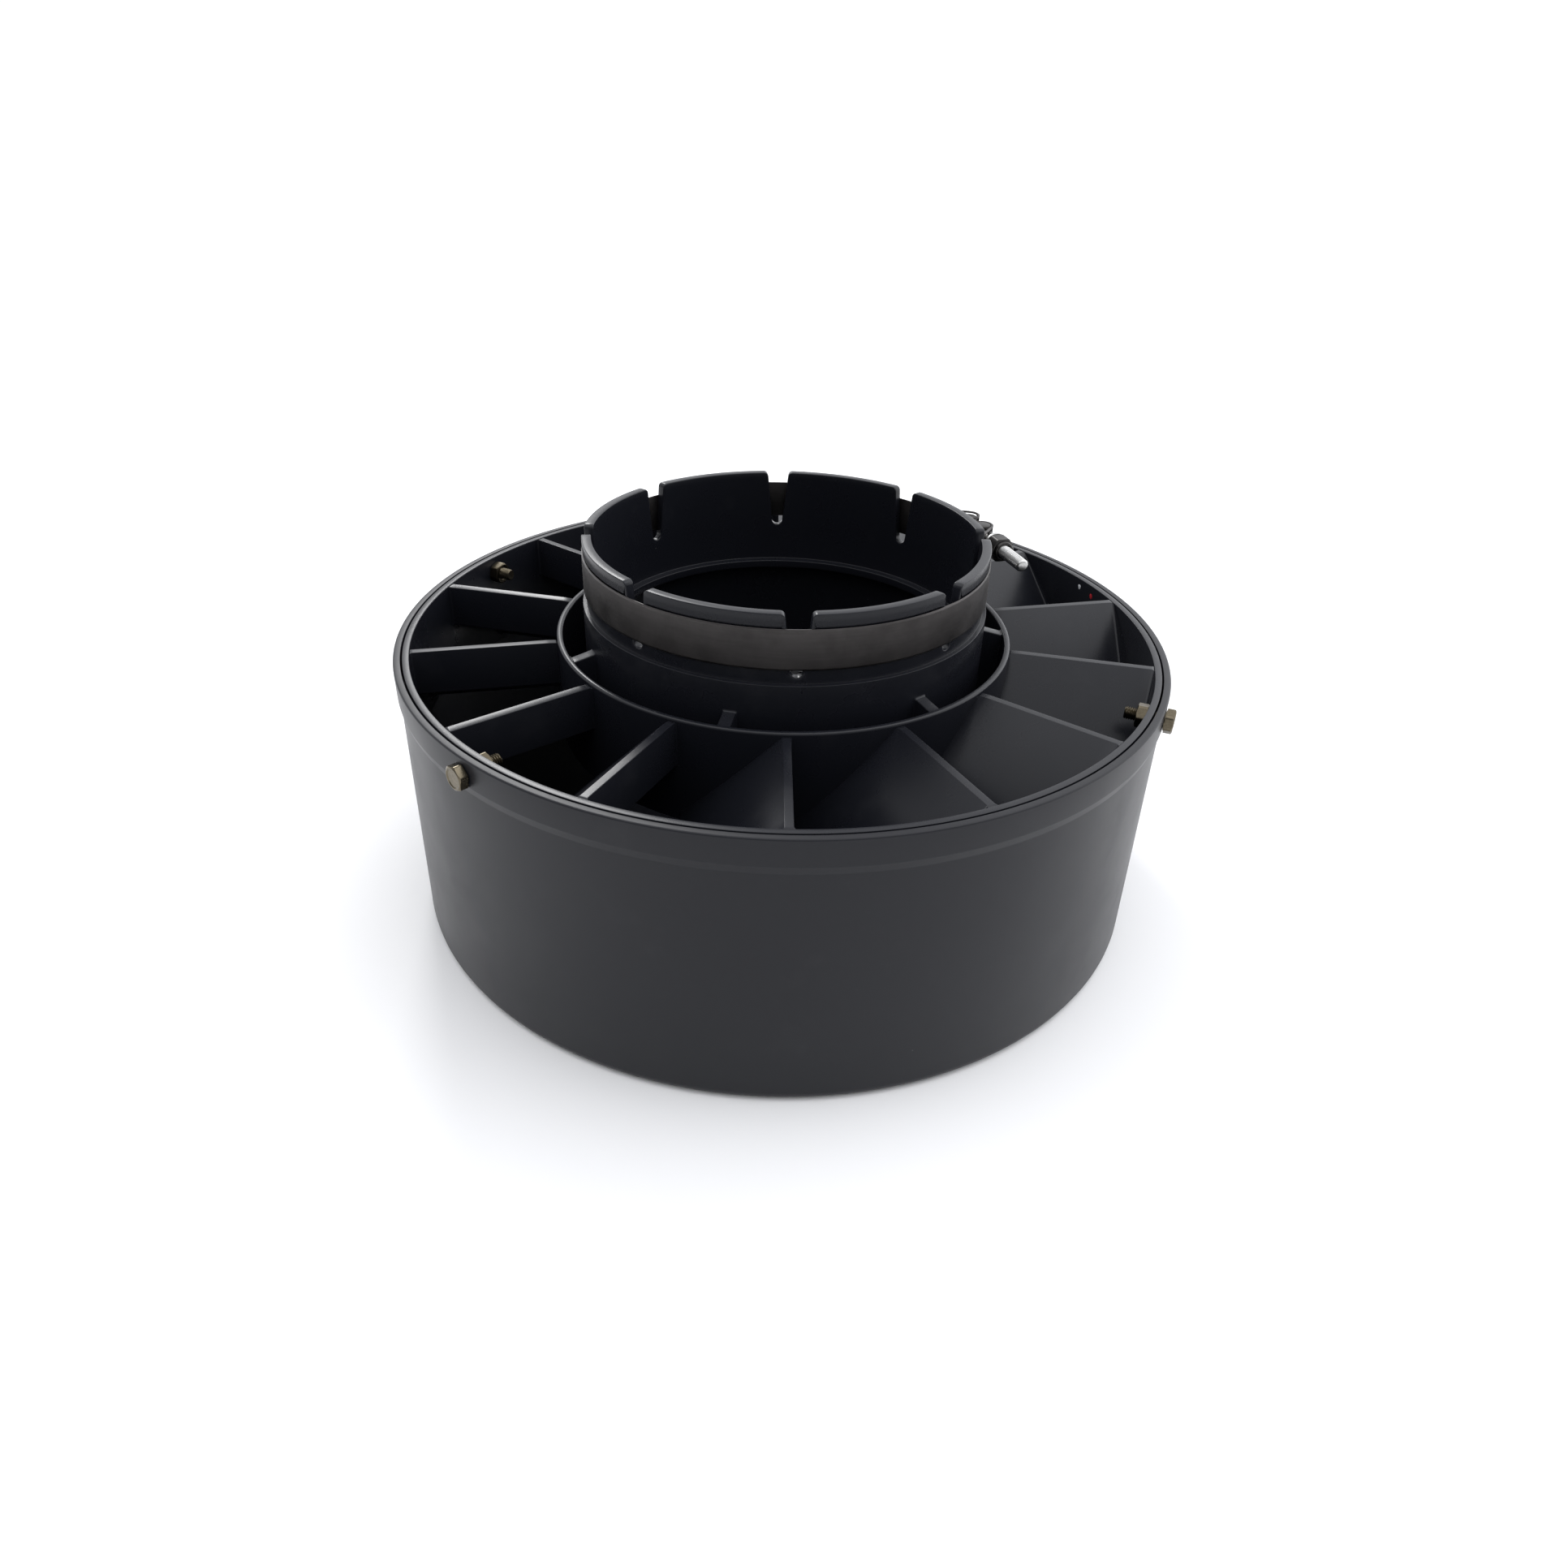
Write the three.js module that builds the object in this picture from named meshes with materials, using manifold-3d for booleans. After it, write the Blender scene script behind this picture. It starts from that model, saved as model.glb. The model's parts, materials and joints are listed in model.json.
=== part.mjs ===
// Cyclonic engine-air pre-cleaner, standing upside down on the closed top of its hood.
// Millimetres, +Z up, z = 0 on the surface it stands on, origin on the vertical axis.
import * as THREE from 'three';
import { mergeVertices } from 'three/addons/utils/BufferGeometryUtils.js';
import Module from 'manifold-3d';

const wasm = await Module();
wasm.setup();

// ---- driving dimensions ---------------------------------------------------------------
const GAP = 0.3;                    // clearance between pieces that touch
const TURN_STEPS = 60;              // facets round the big round parts
const SMALL_STEPS = 20;             // facets round the small round parts
const RAD = Math.PI / 180;

const LIP_RADIUS = 180;             // outside of the hood's collar
const LIP_Z = 131;                  // height of the lip above the closed end
const WALL = 3.2;                   // hood wall
const COLLAR_DEPTH = 13.4;          // socket that takes the vane base
const BODY_RADIUS_TOP = 178.9;      // hood wall just under the collar
const BODY_RADIUS_LOW = 179.7;      // hood wall at the closed end
const HOOD_CORNER = 5;              // rounding at the closed end
const RECESS_RADIUS = 24;           // dished centre that hides the spindle head
const RECESS_DEPTH = 9;
const BOSS_RADIUS = 12;
const BOSS_TOP = 30;

const BASE_DEPTH = 48;              // height of the vane base
const RING_INNER = 173;             // outer ring of the vane base
const RING_OUTER = 176.4;
const RING_SKIRT = 175.1;
const HUB_OUTER = 107.6;            // inner ring of the vane base
const HUB_INNER = 104.6;
const HUB_RISE = 1;                 // the hub ring stands this much above the lip
const HUB_FLOOR = 3;

const VANE_COUNT = 14;
const VANE_PHASE = -88.6;           // degrees
const VANE_EDGE = 3.4;              // flat width of a vane's top edge
const VANE_PLATE = 3;               // thickness of the sloping plate and of the web
const VANE_DEPTH = 44;
const WEB_DEPTH = 21;

const RIB_COUNT = 7;
const RIB_PHASE = -103;
const RIB_WIDTH = 3;

const NECK_TOP = LIP_Z + 46.3;
const NECK_BEAD = 93.3;             // retaining bead above the clamp
const NECK_OUTER = 92.55;           // seat of the clamp
const NECK_FOOT = 94.4;             // below the step
const NECK_STEP_Z = LIP_Z + 15.4;
const NECK_INNER = 89;              // takes a 7 inch (177.8 mm) pipe
const LEDGE_INNER = 84.8;           // pipe stop
const LEDGE_Z = LIP_Z - 0.5;
const LEDGE_THICK = 4;
const NECK_BOTTOM = 75;
const SLOT_COUNT = 8;
const SLOT_PHASE = -86.4;
const SLOT_TOP_WIDTH = 11;
const SLOT_LOW_WIDTH = 5.6;
const SLOT_BOTTOM = LIP_Z + 18.3;

const BAND_LOW = LIP_Z + 21.9;
const BAND_TOP = LIP_Z + 40;
const BAND_INNER = 92.95;
const BAND_OUTER = 93.75;
const BAND_MID = (BAND_LOW + BAND_TOP) / 2;
const TBOLT_AZIMUTH = 18.3;         // degrees; the bolt lies across this radius
const TBOLT_OFFSET = 108;           // distance of the bolt from the vertical axis
const TBOLT_RADIUS = 3.1;
const SHANK_RADIUS = 2.7;           // thread at its pitch radius, clear of the nut's bore
const TBOLT_FREE_END = 29;
const TBOLT_HEAD_AT = -31;
const TRUNNION_AT = -15.5;
const TRUNNION_RADIUS = 4.1;
const LOOP_SHEET = 1;
const LOOP_HEIGHT = 12;
const LOOP_REACH = 22;              // from a cross bar to the foot of its loop
const SLEEVE_RADIUS = 3.9;
const SLEEVE_LENGTH = 14;           // carries the washer clear of the loop
const CLAMP_NUT_LENGTH = 9.5;
const CLAMP_NUT_FLATS = 11.1;
const WASHER_THICK = 1.5;

const RIM_BOLT_Z = LIP_Z - 8.1;
const RIM_BOLT_AZIMUTHS = [-132.8, -22.5, 48.6, 154.6];
const M6_RADIUS = 2.95;
const M6_FLATS = 10;
const M6_HEAD = 4;
const M6_NUT = 5;
const RIM_BOLT_END = 162.8;

const SPINDLE_RADIUS = 5.8;
const SPINDLE_TOP = 94;
const SPINDLE_FLATS = 18;
const BEARING_OUTER = 16;
const BEARING_HEIGHT = 10;
const JAM_NUT_Z = BOSS_TOP + GAP;
const JAM_NUT_HEIGHT = 6.5;
const LOW_BEARING_Z = 38.6;
const SPACER_LENGTH = 19.5;
const ROTOR_HUB_OUTER = 21;
const ROTOR_LOW = 38;
const ROTOR_TOP = 79;
const ROTOR_ARMS = 4;
const ROTOR_PLATE = 3;
const PADDLE_TIP = 168;

const SLOT_OPENINGS = [54, 90];  // azimuths of the discharge slots
const DISCHARGE_SPAN = 32;            // degrees
const DISCHARGE_LOW = 18;
const DISCHARGE_HIGH = 64;

// ---- materials --------------------------------------------------------------------------
const look = (color, roughness, metalness) => ({ color, roughness, metalness });
const LOOKS = {
  shell: look(0x303136, 0.5, 0),
  base: look(0x1c1d21, 0.42, 0),
  band: look(0x4a4744, 0.4, 1),
  zinc: look(0x8a7a4e, 0.4, 1),
  bright: look(0xb9b9b6, 0.3, 1),
  bearing: look(0x9b9c9e, 0.25, 1),
  rotor: look(0x242528, 0.5, 0),
};

// ---- helpers ----------------------------------------------------------------------------
function flip(index) {
  for (let i = 0; i < index.length; i += 3) {
    const first = index[i];
    index[i] = index[i + 1];
    index[i + 1] = first;
  }
}

function signedVolume(position, index) {
  const a = new THREE.Vector3();
  const b = new THREE.Vector3();
  const c = new THREE.Vector3();
  let sum = 0;
  for (let i = 0; i < index.length; i += 3) {
    a.fromArray(position, 3 * index[i]);
    b.fromArray(position, 3 * index[i + 1]);
    c.fromArray(position, 3 * index[i + 2]);
    sum += a.dot(b.cross(c));
  }
  return sum / 6;
}

// A closed three.js geometry as a solid for joining and cutting.
function solid(source) {
  const bare = source.clone();
  bare.deleteAttribute('normal');
  bare.deleteAttribute('uv');
  const merged = mergeVertices(bare, 1e-4);
  const position = merged.attributes.position.array;
  const index = [];
  const raw = merged.index.array;
  for (let i = 0; i < raw.length; i += 3) {
    const [a, b, c] = [raw[i], raw[i + 1], raw[i + 2]];
    if (a !== b && b !== c && c !== a) index.push(a, b, c);
  }
  if (signedVolume(position, index) < 0) flip(index);
  const vertProperties = new Float32Array(position);
  const triVerts = new Uint32Array(index);
  return new wasm.Manifold(new wasm.Mesh({ numProp: 3, vertProperties, triVerts }));
}

function geometryOf(body) {
  const mesh = body.getMesh();
  const geometry = new THREE.BufferGeometry();
  geometry.setAttribute('position', new THREE.BufferAttribute(mesh.vertProperties, 3));
  geometry.setIndex(new THREE.BufferAttribute(mesh.triVerts, 1));
  return geometry;
}

// Closed (radius, height) outline turned about +Z.
function turned(outline, steps = TURN_STEPS) {
  const points = outline.map(([r, z]) => new THREE.Vector2(r, z));
  if (outline[0][0] > 0) points.push(points[0].clone());
  return solid(new THREE.LatheGeometry(points, steps).rotateX(Math.PI / 2));
}

// Rectangular ring section with small chamfers.
function ring(inner, outer, low, high, steps = TURN_STEPS, chamfer = 0.4) {
  return turned([
    [inner, low], [outer - chamfer, low], [outer, low + chamfer],
    [outer, high - chamfer], [outer - chamfer, high], [inner, high],
  ], steps);
}

// Quarter round in an outline, from angle a to angle b in degrees.
function arc(radius, z, size, a, b, steps) {
  return Array.from({ length: steps + 1 }, (_, i) => {
    const angle = (a + ((b - a) * i) / steps) * RAD;
    return [radius + size * Math.cos(angle), z + size * Math.sin(angle)];
  });
}

// Round or hexagonal bar from low to high along +Z.
function bar(radius, low, high, sides = 16) {
  return solid(new THREE.CylinderGeometry(radius, radius, high - low, sides)
    .rotateX(Math.PI / 2).translate(0, 0, (low + high) / 2));
}

const hexRadius = (flats) => flats / Math.sqrt(3);

// Hexagonal head or nut with its corners turned off at one or both ends.
function hexagon(flats, low, high, chamferLow, chamferHigh) {
  const corner = hexRadius(flats);
  const flat = flats / 2 - 0.3;
  const drop = (corner - flat) * 0.6;
  const trim = [
    [0, low], [chamferLow ? flat : corner + 1, low], [corner + 0.1, low + (chamferLow ? drop : 0)],
    [corner + 0.1, high - (chamferHigh ? drop : 0)], [chamferHigh ? flat : corner + 1, high],
    [0, high],
  ];
  return bar(corner, low, high, 6).intersect(turned(trim, SMALL_STEPS));
}

// Moves a solid built along +Z so that it points outwards along a radius.
function alongRadius(body, azimuth, z) {
  const geometry = geometryOf(body).rotateY(Math.PI / 2).rotateZ(azimuth * RAD);
  return solid(geometry.translate(0, 0, z));
}

// Moves a solid from the clamp bolt's own frame (x along the bolt, y outwards) into place.
function onClampBolt(geometry) {
  return geometry.translate(0, TBOLT_OFFSET, BAND_MID).rotateZ((TBOLT_AZIMUTH - 90) * RAD);
}

// The bolt's own frame has x running from its head towards its free end.
function alongClampBolt(body) {
  return solid(onClampBolt(geometryOf(body).rotateY(Math.PI / 2)));
}

function standingOnClampBolt(body, at) {
  return solid(onClampBolt(geometryOf(body).translate(at, 0, 0)));
}

// ---- hood ---------------------------------------------------------------------------------
function hoodShell() {
  const innerLow = BODY_RADIUS_LOW - WALL;
  const stepZ = LIP_Z - COLLAR_DEPTH;
  const socket = RING_OUTER + 0.4;
  const outline = [
    [SPINDLE_RADIUS + 0.4, RECESS_DEPTH],
    [RECESS_RADIUS - 2, RECESS_DEPTH],
    [RECESS_RADIUS, 0],
    ...arc(BODY_RADIUS_LOW - HOOD_CORNER, HOOD_CORNER, HOOD_CORNER, -90, 0, 3),
    [BODY_RADIUS_TOP, stepZ - 2],
    [LIP_RADIUS, stepZ + 1],
    [LIP_RADIUS, LIP_Z - 1.2],
    [LIP_RADIUS - 1.2, LIP_Z],
    [socket + 0.4, LIP_Z],
    [socket, LIP_Z - 0.4],
    [socket, stepZ],
    [BODY_RADIUS_TOP - WALL, stepZ],
    ...arc(innerLow - 3, WALL + 3, 3, 0, -90, 1),
    [RECESS_RADIUS + WALL, WALL],
    [RECESS_RADIUS + WALL - 2, RECESS_DEPTH + WALL],
    [BOSS_RADIUS, RECESS_DEPTH + WALL],
    [BOSS_RADIUS - 1, BOSS_TOP],
    [SPINDLE_RADIUS + 0.4, BOSS_TOP],
  ];
  let body = turned(outline);
  for (const azimuth of SLOT_OPENINGS) body = body.subtract(dischargeCutter(azimuth));
  for (const azimuth of RIM_BOLT_AZIMUTHS) body = body.subtract(rimHole(azimuth));
  return body;
}

function dischargeCutter(azimuth) {
  const [a, b] = [-DISCHARGE_SPAN / 2 * RAD, DISCHARGE_SPAN / 2 * RAD];
  const [inside, outside] = [LIP_RADIUS - 20, LIP_RADIUS + 10];
  const shape = new THREE.Shape();
  shape.moveTo(inside * Math.cos(a), inside * Math.sin(a));
  shape.absarc(0, 0, outside, a, b, false);
  shape.absarc(0, 0, inside, b, a, true);
  const depth = DISCHARGE_HIGH - DISCHARGE_LOW;
  const sector = new THREE.ExtrudeGeometry(shape, { depth, bevelEnabled: false, curveSegments: 6 });
  return solid(sector.translate(0, 0, DISCHARGE_LOW).rotateZ(azimuth * RAD));
}

function rimHole(azimuth) {
  return alongRadius(bar(M6_RADIUS + 0.4, RING_INNER - 10, LIP_RADIUS + 10, 12), azimuth, RIM_BOLT_Z);
}

// ---- vane base ----------------------------------------------------------------------------
function baseOuterRing() {
  const stepZ = LIP_Z - COLLAR_DEPTH + GAP;
  const low = LIP_Z - BASE_DEPTH;
  let body = turned([
    [RING_INNER + 0.5, LIP_Z], [RING_INNER, LIP_Z - 0.5], [RING_INNER, low],
    [RING_SKIRT, low], [RING_SKIRT, stepZ], [RING_OUTER, stepZ],
    [RING_OUTER, LIP_Z - 0.5], [RING_OUTER - 0.5, LIP_Z],
  ]);
  for (const azimuth of RIM_BOLT_AZIMUTHS) body = body.subtract(rimHole(azimuth));
  return body;
}

// Upright ring with a floor that closes the gap round the neck.
function hubRing() {
  const high = LIP_Z + HUB_RISE;
  const low = LIP_Z - BASE_DEPTH;
  return turned([
    [HUB_INNER, low + HUB_FLOOR], [HUB_INNER, high - 0.5], [HUB_INNER + 0.5, high],
    [HUB_OUTER - 0.5, high], [HUB_OUTER, high - 0.5], [HUB_OUTER, low],
    [NECK_FOOT + 0.4, low], [NECK_FOOT + 0.4, low + HUB_FLOOR],
  ]);
}

// Slab between the hub and the outer ring. Each layer gives a height below the top edge and
// the arc lengths of the slab's two sides there.
function radialSlab(layers, azimuth) {
  const inner = HUB_OUTER + 0.35;
  const outer = RING_INNER * Math.cos(Math.PI / TURN_STEPS) - GAP;
  const steps = 3;
  const radii = Array.from({ length: steps + 1 }, (_, i) => inner + ((outer - inner) * i) / steps);
  const position = [];
  for (const radius of radii) {
    for (const [z, ...sides] of layers) {
      for (const s of sides) {
        const angle = azimuth * RAD + s / radius;
        position.push(radius * Math.cos(angle), radius * Math.sin(angle), LIP_Z + z);
      }
    }
  }
  const point = (i, layer, side) => 2 * (i * layers.length + layer) + side;
  const index = [];
  const quad = (a, b, c, d) => index.push(a, b, c, a, c, d);
  const low = layers.length - 1;
  for (let j = 0; j < low; j += 1) {
    quad(point(0, j, 0), point(0, j, 1), point(0, j + 1, 1), point(0, j + 1, 0));
    quad(point(steps, j, 1), point(steps, j, 0), point(steps, j + 1, 0), point(steps, j + 1, 1));
  }
  for (let i = 0; i < steps; i += 1) {
    quad(point(i, 0, 1), point(i, 0, 0), point(i + 1, 0, 0), point(i + 1, 0, 1));
    quad(point(i, low, 0), point(i, low, 1), point(i + 1, low, 1), point(i + 1, low, 0));
    for (let j = 0; j < low; j += 1) {
      quad(point(i, j, 0), point(i, j + 1, 0), point(i + 1, j + 1, 0), point(i + 1, j, 0));
      quad(point(i, j + 1, 1), point(i, j, 1), point(i + 1, j, 1), point(i + 1, j + 1, 1));
    }
  }
  const geometry = new THREE.BufferGeometry();
  geometry.setAttribute('position', new THREE.Float32BufferAttribute(position, 3));
  geometry.setIndex(index);
  return solid(geometry);
}

// One vane: a plate that falls clockwise at 45 degrees and an upright web, joined at the top.
function vane(azimuth) {
  const half = VANE_EDGE / 2;
  const across = VANE_PLATE * Math.SQRT2;
  const meet = half + half - across;
  const steps = 5;
  const plate = [[0, -half, half]];
  for (let i = 0; i <= steps; i += 1) {
    const z = meet + ((-VANE_DEPTH - meet) * i) / steps;
    plate.push([z, z - half, z - half + across]);
  }
  const web = [[0, half - VANE_PLATE, half], [-WEB_DEPTH, half - VANE_PLATE, half]];
  return radialSlab(plate, azimuth).add(radialSlab(web, azimuth));
}

// Upright rib across the gap between the neck and the hub ring.
function gapRib(azimuth) {
  const low = LIP_Z - BASE_DEPTH + HUB_FLOOR + GAP;
  const high = LIP_Z - 1.5;
  const inner = NECK_FOOT + GAP;
  const outer = HUB_INNER * Math.cos(Math.PI / TURN_STEPS) - GAP;
  const box = new THREE.BoxGeometry(outer - inner, RIB_WIDTH, high - low);
  return solid(box.translate((inner + outer) / 2, 0, (low + high) / 2).rotateZ(azimuth * RAD));
}

// ---- outlet neck --------------------------------------------------------------------------
function outletNeck() {
  let body = turned([
    [NECK_INNER, LEDGE_Z + 1.5], [NECK_INNER, NECK_TOP - 0.8], [NECK_INNER + 0.8, NECK_TOP],
    [NECK_BEAD - 0.8, NECK_TOP], [NECK_BEAD, NECK_TOP - 0.8], [NECK_BEAD, BAND_TOP + 0.8],
    [NECK_OUTER, BAND_TOP + 0.4], [NECK_OUTER, NECK_STEP_Z + 1], [NECK_FOOT, NECK_STEP_Z],
    [NECK_FOOT, NECK_BOTTOM], [NECK_FOOT - WALL, NECK_BOTTOM],
    [NECK_FOOT - WALL, LEDGE_Z - LEDGE_THICK], [LEDGE_INNER, LEDGE_Z - LEDGE_THICK],
    [LEDGE_INNER, LEDGE_Z - 0.8], [LEDGE_INNER + 0.8, LEDGE_Z], [NECK_INNER - 1.5, LEDGE_Z],
  ]);
  for (let i = 0; i < SLOT_COUNT; i += 1) {
    body = body.subtract(neckSlotCutter(SLOT_PHASE + (360 / SLOT_COUNT) * i));
  }
  return body;
}

// Tapered slot with a round bottom, cut through the neck wall from its rim.
function neckSlotCutter(azimuth) {
  const low = SLOT_LOW_WIDTH / 2;
  const high = SLOT_TOP_WIDTH / 2;
  const above = NECK_TOP + 5;
  const shape = new THREE.Shape();
  shape.moveTo(-high, above);
  shape.lineTo(-low, SLOT_BOTTOM + low);
  shape.absarc(0, SLOT_BOTTOM + low, low, Math.PI, 2 * Math.PI, false);
  shape.lineTo(high, above);
  shape.closePath();
  const depth = NECK_FOOT - NECK_INNER + 8;
  const cutter = new THREE.ExtrudeGeometry(shape, { depth, bevelEnabled: false, curveSegments: 4 });
  cutter.rotateX(Math.PI / 2).translate(0, NECK_FOOT + 4, 0);
  return solid(cutter.rotateZ((azimuth - 90) * RAD));
}

// ---- clamp ----------------------------------------------------------------------------------
function clampBand() {
  return ring(BAND_INNER, BAND_OUTER, BAND_LOW, BAND_TOP, TURN_STEPS, 0.15);
}

// Teardrop outline: a round eye at (centre, 0) and a point at the foot.
function teardrop(Kind, centre, radius, foot) {
  const reach = new THREE.Vector2(foot.x - centre, foot.y);
  const towards = reach.angle();
  const spread = Math.acos(radius / reach.length());
  const shape = new Kind();
  const start = towards + spread;
  shape.moveTo(foot.x, foot.y);
  shape.lineTo(centre + radius * Math.cos(start), radius * Math.sin(start));
  shape.absarc(centre, 0, radius, start, towards - spread + 2 * Math.PI, false);
  return shape;
}

// Band end folded round a cross bar. side is +1 or -1, the way its foot runs along the bolt.
function bandLoop(centre, side) {
  const outer = TRUNNION_RADIUS + GAP + LOOP_SHEET;
  const along = centre + side * LOOP_REACH;
  const out = Math.sqrt((BAND_OUTER + 0.5) ** 2 - along ** 2) - TBOLT_OFFSET;
  const foot = new THREE.Vector2(along, out);
  const eye = new THREE.Vector2(centre, 0);
  const inset = (LOOP_SHEET * foot.distanceTo(eye)) / outer;
  const innerFoot = foot.clone().lerp(eye, inset / foot.distanceTo(eye));
  const shape = teardrop(THREE.Shape, centre, outer, foot);
  shape.holes.push(teardrop(THREE.Path, centre, outer - LOOP_SHEET, innerFoot));
  const depth = LOOP_HEIGHT;
  const sheet = new THREE.ExtrudeGeometry(shape, { depth, bevelEnabled: false, curveSegments: 7 });
  const body = solid(onClampBolt(sheet.translate(0, 0, -depth / 2)));
  const size = [2 * outer + 20, 2 * TBOLT_RADIUS + 4, 2 * TBOLT_RADIUS + 2.4];
  const window = new THREE.BoxGeometry(...size);
  return body.subtract(solid(onClampBolt(window.translate(centre, 0, 0))));
}

function tBolt() {
  const shank = bar(SHANK_RADIUS, TBOLT_HEAD_AT, TBOLT_FREE_END, 16);
  const crossBar = bar(TRUNNION_RADIUS, -LOOP_HEIGHT / 2 + 1, LOOP_HEIGHT / 2 - 1, 16);
  return alongClampBolt(shank).add(standingOnClampBolt(crossBar, TBOLT_HEAD_AT));
}

// Cross pin with a sleeve that the nut presses on, drilled for the bolt.
function trunnion() {
  const pin = bar(TRUNNION_RADIUS, -LOOP_HEIGHT / 2, LOOP_HEIGHT / 2, SMALL_STEPS);
  const sleeveEnd = TRUNNION_AT + SLEEVE_LENGTH;
  const sleeve = bar(SLEEVE_RADIUS, TRUNNION_AT, sleeveEnd, SMALL_STEPS);
  const hole = bar(TBOLT_RADIUS + GAP, TRUNNION_AT - 10, sleeveEnd + 1, 16);
  const body = standingOnClampBolt(pin, TRUNNION_AT).add(alongClampBolt(sleeve));
  return body.subtract(alongClampBolt(hole));
}

const WASHER_AT = TRUNNION_AT + SLEEVE_LENGTH + GAP;

function clampWasher() {
  return alongClampBolt(ring(TBOLT_RADIUS + GAP, 6, WASHER_AT, WASHER_AT + WASHER_THICK, SMALL_STEPS, 0.2));
}

function clampNut() {
  const low = WASHER_AT + WASHER_THICK + GAP;
  const high = low + CLAMP_NUT_LENGTH;
  const hex = hexagon(CLAMP_NUT_FLATS, low, high - 2, true, true);
  const collar = bar(CLAMP_NUT_FLATS / 2 - 0.8, high - 3, high, SMALL_STEPS);
  const hole = bar(TBOLT_RADIUS + GAP, low - 1, high + 1, 16);
  return alongClampBolt(hex.add(collar).subtract(hole));
}

// ---- rim bolts --------------------------------------------------------------------------------
function rimBolt(azimuth) {
  const seat = LIP_RADIUS + GAP;
  const head = hexagon(M6_FLATS, seat, seat + M6_HEAD, false, true);
  const shank = bar(M6_RADIUS, RIM_BOLT_END, seat + 1, 12);
  return alongRadius(head.add(shank), azimuth, RIM_BOLT_Z);
}

function rimNut(azimuth) {
  const seat = RING_INNER * Math.cos(Math.PI / TURN_STEPS) - GAP - 0.35;
  const hex = hexagon(M6_FLATS, seat - M6_NUT, seat, true, false);
  const hole = bar(M6_RADIUS + GAP, seat - M6_NUT - 1, seat + 1, 12);
  return alongRadius(hex.subtract(hole), azimuth, RIM_BOLT_Z);
}

// ---- spindle and rotor ----------------------------------------------------------------------
function spindleBolt() {
  const headTop = RECESS_DEPTH - GAP;
  const head = hexagon(SPINDLE_FLATS, headTop - 7.5, headTop, true, false);
  return head.add(bar(SPINDLE_RADIUS, headTop - 1, SPINDLE_TOP, SMALL_STEPS));
}

function spindleNut(low, height) {
  const hex = hexagon(SPINDLE_FLATS, low, low + height, true, true);
  return hex.subtract(bar(SPINDLE_RADIUS + GAP, low - 1, low + height + 1, SMALL_STEPS));
}

// Spacer or washer on the spindle.
function sleeve(outer, low, length) {
  return ring(SPINDLE_RADIUS + GAP, outer, low, low + length, SMALL_STEPS, 0.2);
}

function bearing(low) {
  return ring(SPINDLE_RADIUS + GAP, BEARING_OUTER, low, low + BEARING_HEIGHT, SMALL_STEPS, 0.6);
}

const SPACER_Z = LOW_BEARING_Z + BEARING_HEIGHT + GAP;
const HIGH_BEARING_Z = SPACER_Z + SPACER_LENGTH + GAP;
const ROTOR_WASHER_Z = HIGH_BEARING_Z + BEARING_HEIGHT + GAP;
const LOCK_NUT_Z = ROTOR_WASHER_Z + WASHER_THICK + GAP;

function rotor() {
  const bore = BEARING_OUTER + 0.6;
  let body = ring(bore, ROTOR_HUB_OUTER, ROTOR_LOW, ROTOR_TOP, SMALL_STEPS, 0.8);
  const inner = ROTOR_HUB_OUTER - 2;
  const outline = [
    [inner, ROTOR_LOW + 4], [60, 34], [110, 16], [PADDLE_TIP, 16],
    [PADDLE_TIP, 66], [110, 66], [60, 70], [inner, ROTOR_TOP - 4],
  ];
  const shape = new THREE.Shape(outline.map(([r, z]) => new THREE.Vector2(r, z)));
  const plate = new THREE.ExtrudeGeometry(shape, { depth: ROTOR_PLATE, bevelEnabled: false });
  plate.translate(0, 0, -ROTOR_PLATE / 2).rotateX(Math.PI / 2);
  for (let i = 0; i < ROTOR_ARMS; i += 1) {
    body = body.add(solid(plate.clone().rotateZ((2 * Math.PI * i) / ROTOR_ARMS)));
  }
  return body;
}

function rotorCap() {
  const low = ROTOR_TOP + GAP;
  const inside = ROTOR_HUB_OUTER - 3;
  return turned([
    [inside, low], [ROTOR_HUB_OUTER, low], [ROTOR_HUB_OUTER, low + 14],
    [ROTOR_HUB_OUTER - 4, low + 19], [0, low + 20], [0, low + 17.5],
    [inside - 3, low + 16.5], [inside, low + 13],
  ], SMALL_STEPS);
}

// ---- assembly ---------------------------------------------------------------------------------
const group = new THREE.Group();

function place(name, body, finish) {
  const geometry = geometryOf(body);
  geometry.computeVertexNormals();
  const mesh = new THREE.Mesh(geometry, new THREE.MeshStandardMaterial(LOOKS[finish]));
  mesh.name = name;
  group.add(mesh);
}

const numbered = (name, i) => `${name}_${String(i + 1).padStart(2, '0')}`;

place('hood_shell', hoodShell(), 'shell');
place('base_outer_ring', baseOuterRing(), 'base');
place('base_hub_ring', hubRing(), 'base');
for (let i = 0; i < VANE_COUNT; i += 1) {
  place(numbered('inlet_vane', i), vane(VANE_PHASE + (360 / VANE_COUNT) * i), 'base');
}
for (let i = 0; i < RIB_COUNT; i += 1) {
  place(numbered('neck_rib', i), gapRib(RIB_PHASE + (360 / RIB_COUNT) * i), 'base');
}
place('outlet_neck', outletNeck(), 'base');

place('clamp_band', clampBand(), 'band');
place('clamp_loop_trunnion', bandLoop(TRUNNION_AT, 1), 'band');
place('clamp_loop_head', bandLoop(TBOLT_HEAD_AT, -1), 'band');
place('clamp_t_bolt', tBolt(), 'bright');
place('clamp_trunnion', trunnion(), 'bright');
place('clamp_washer', clampWasher(), 'bright');
place('clamp_nut', clampNut(), 'bright');

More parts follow.
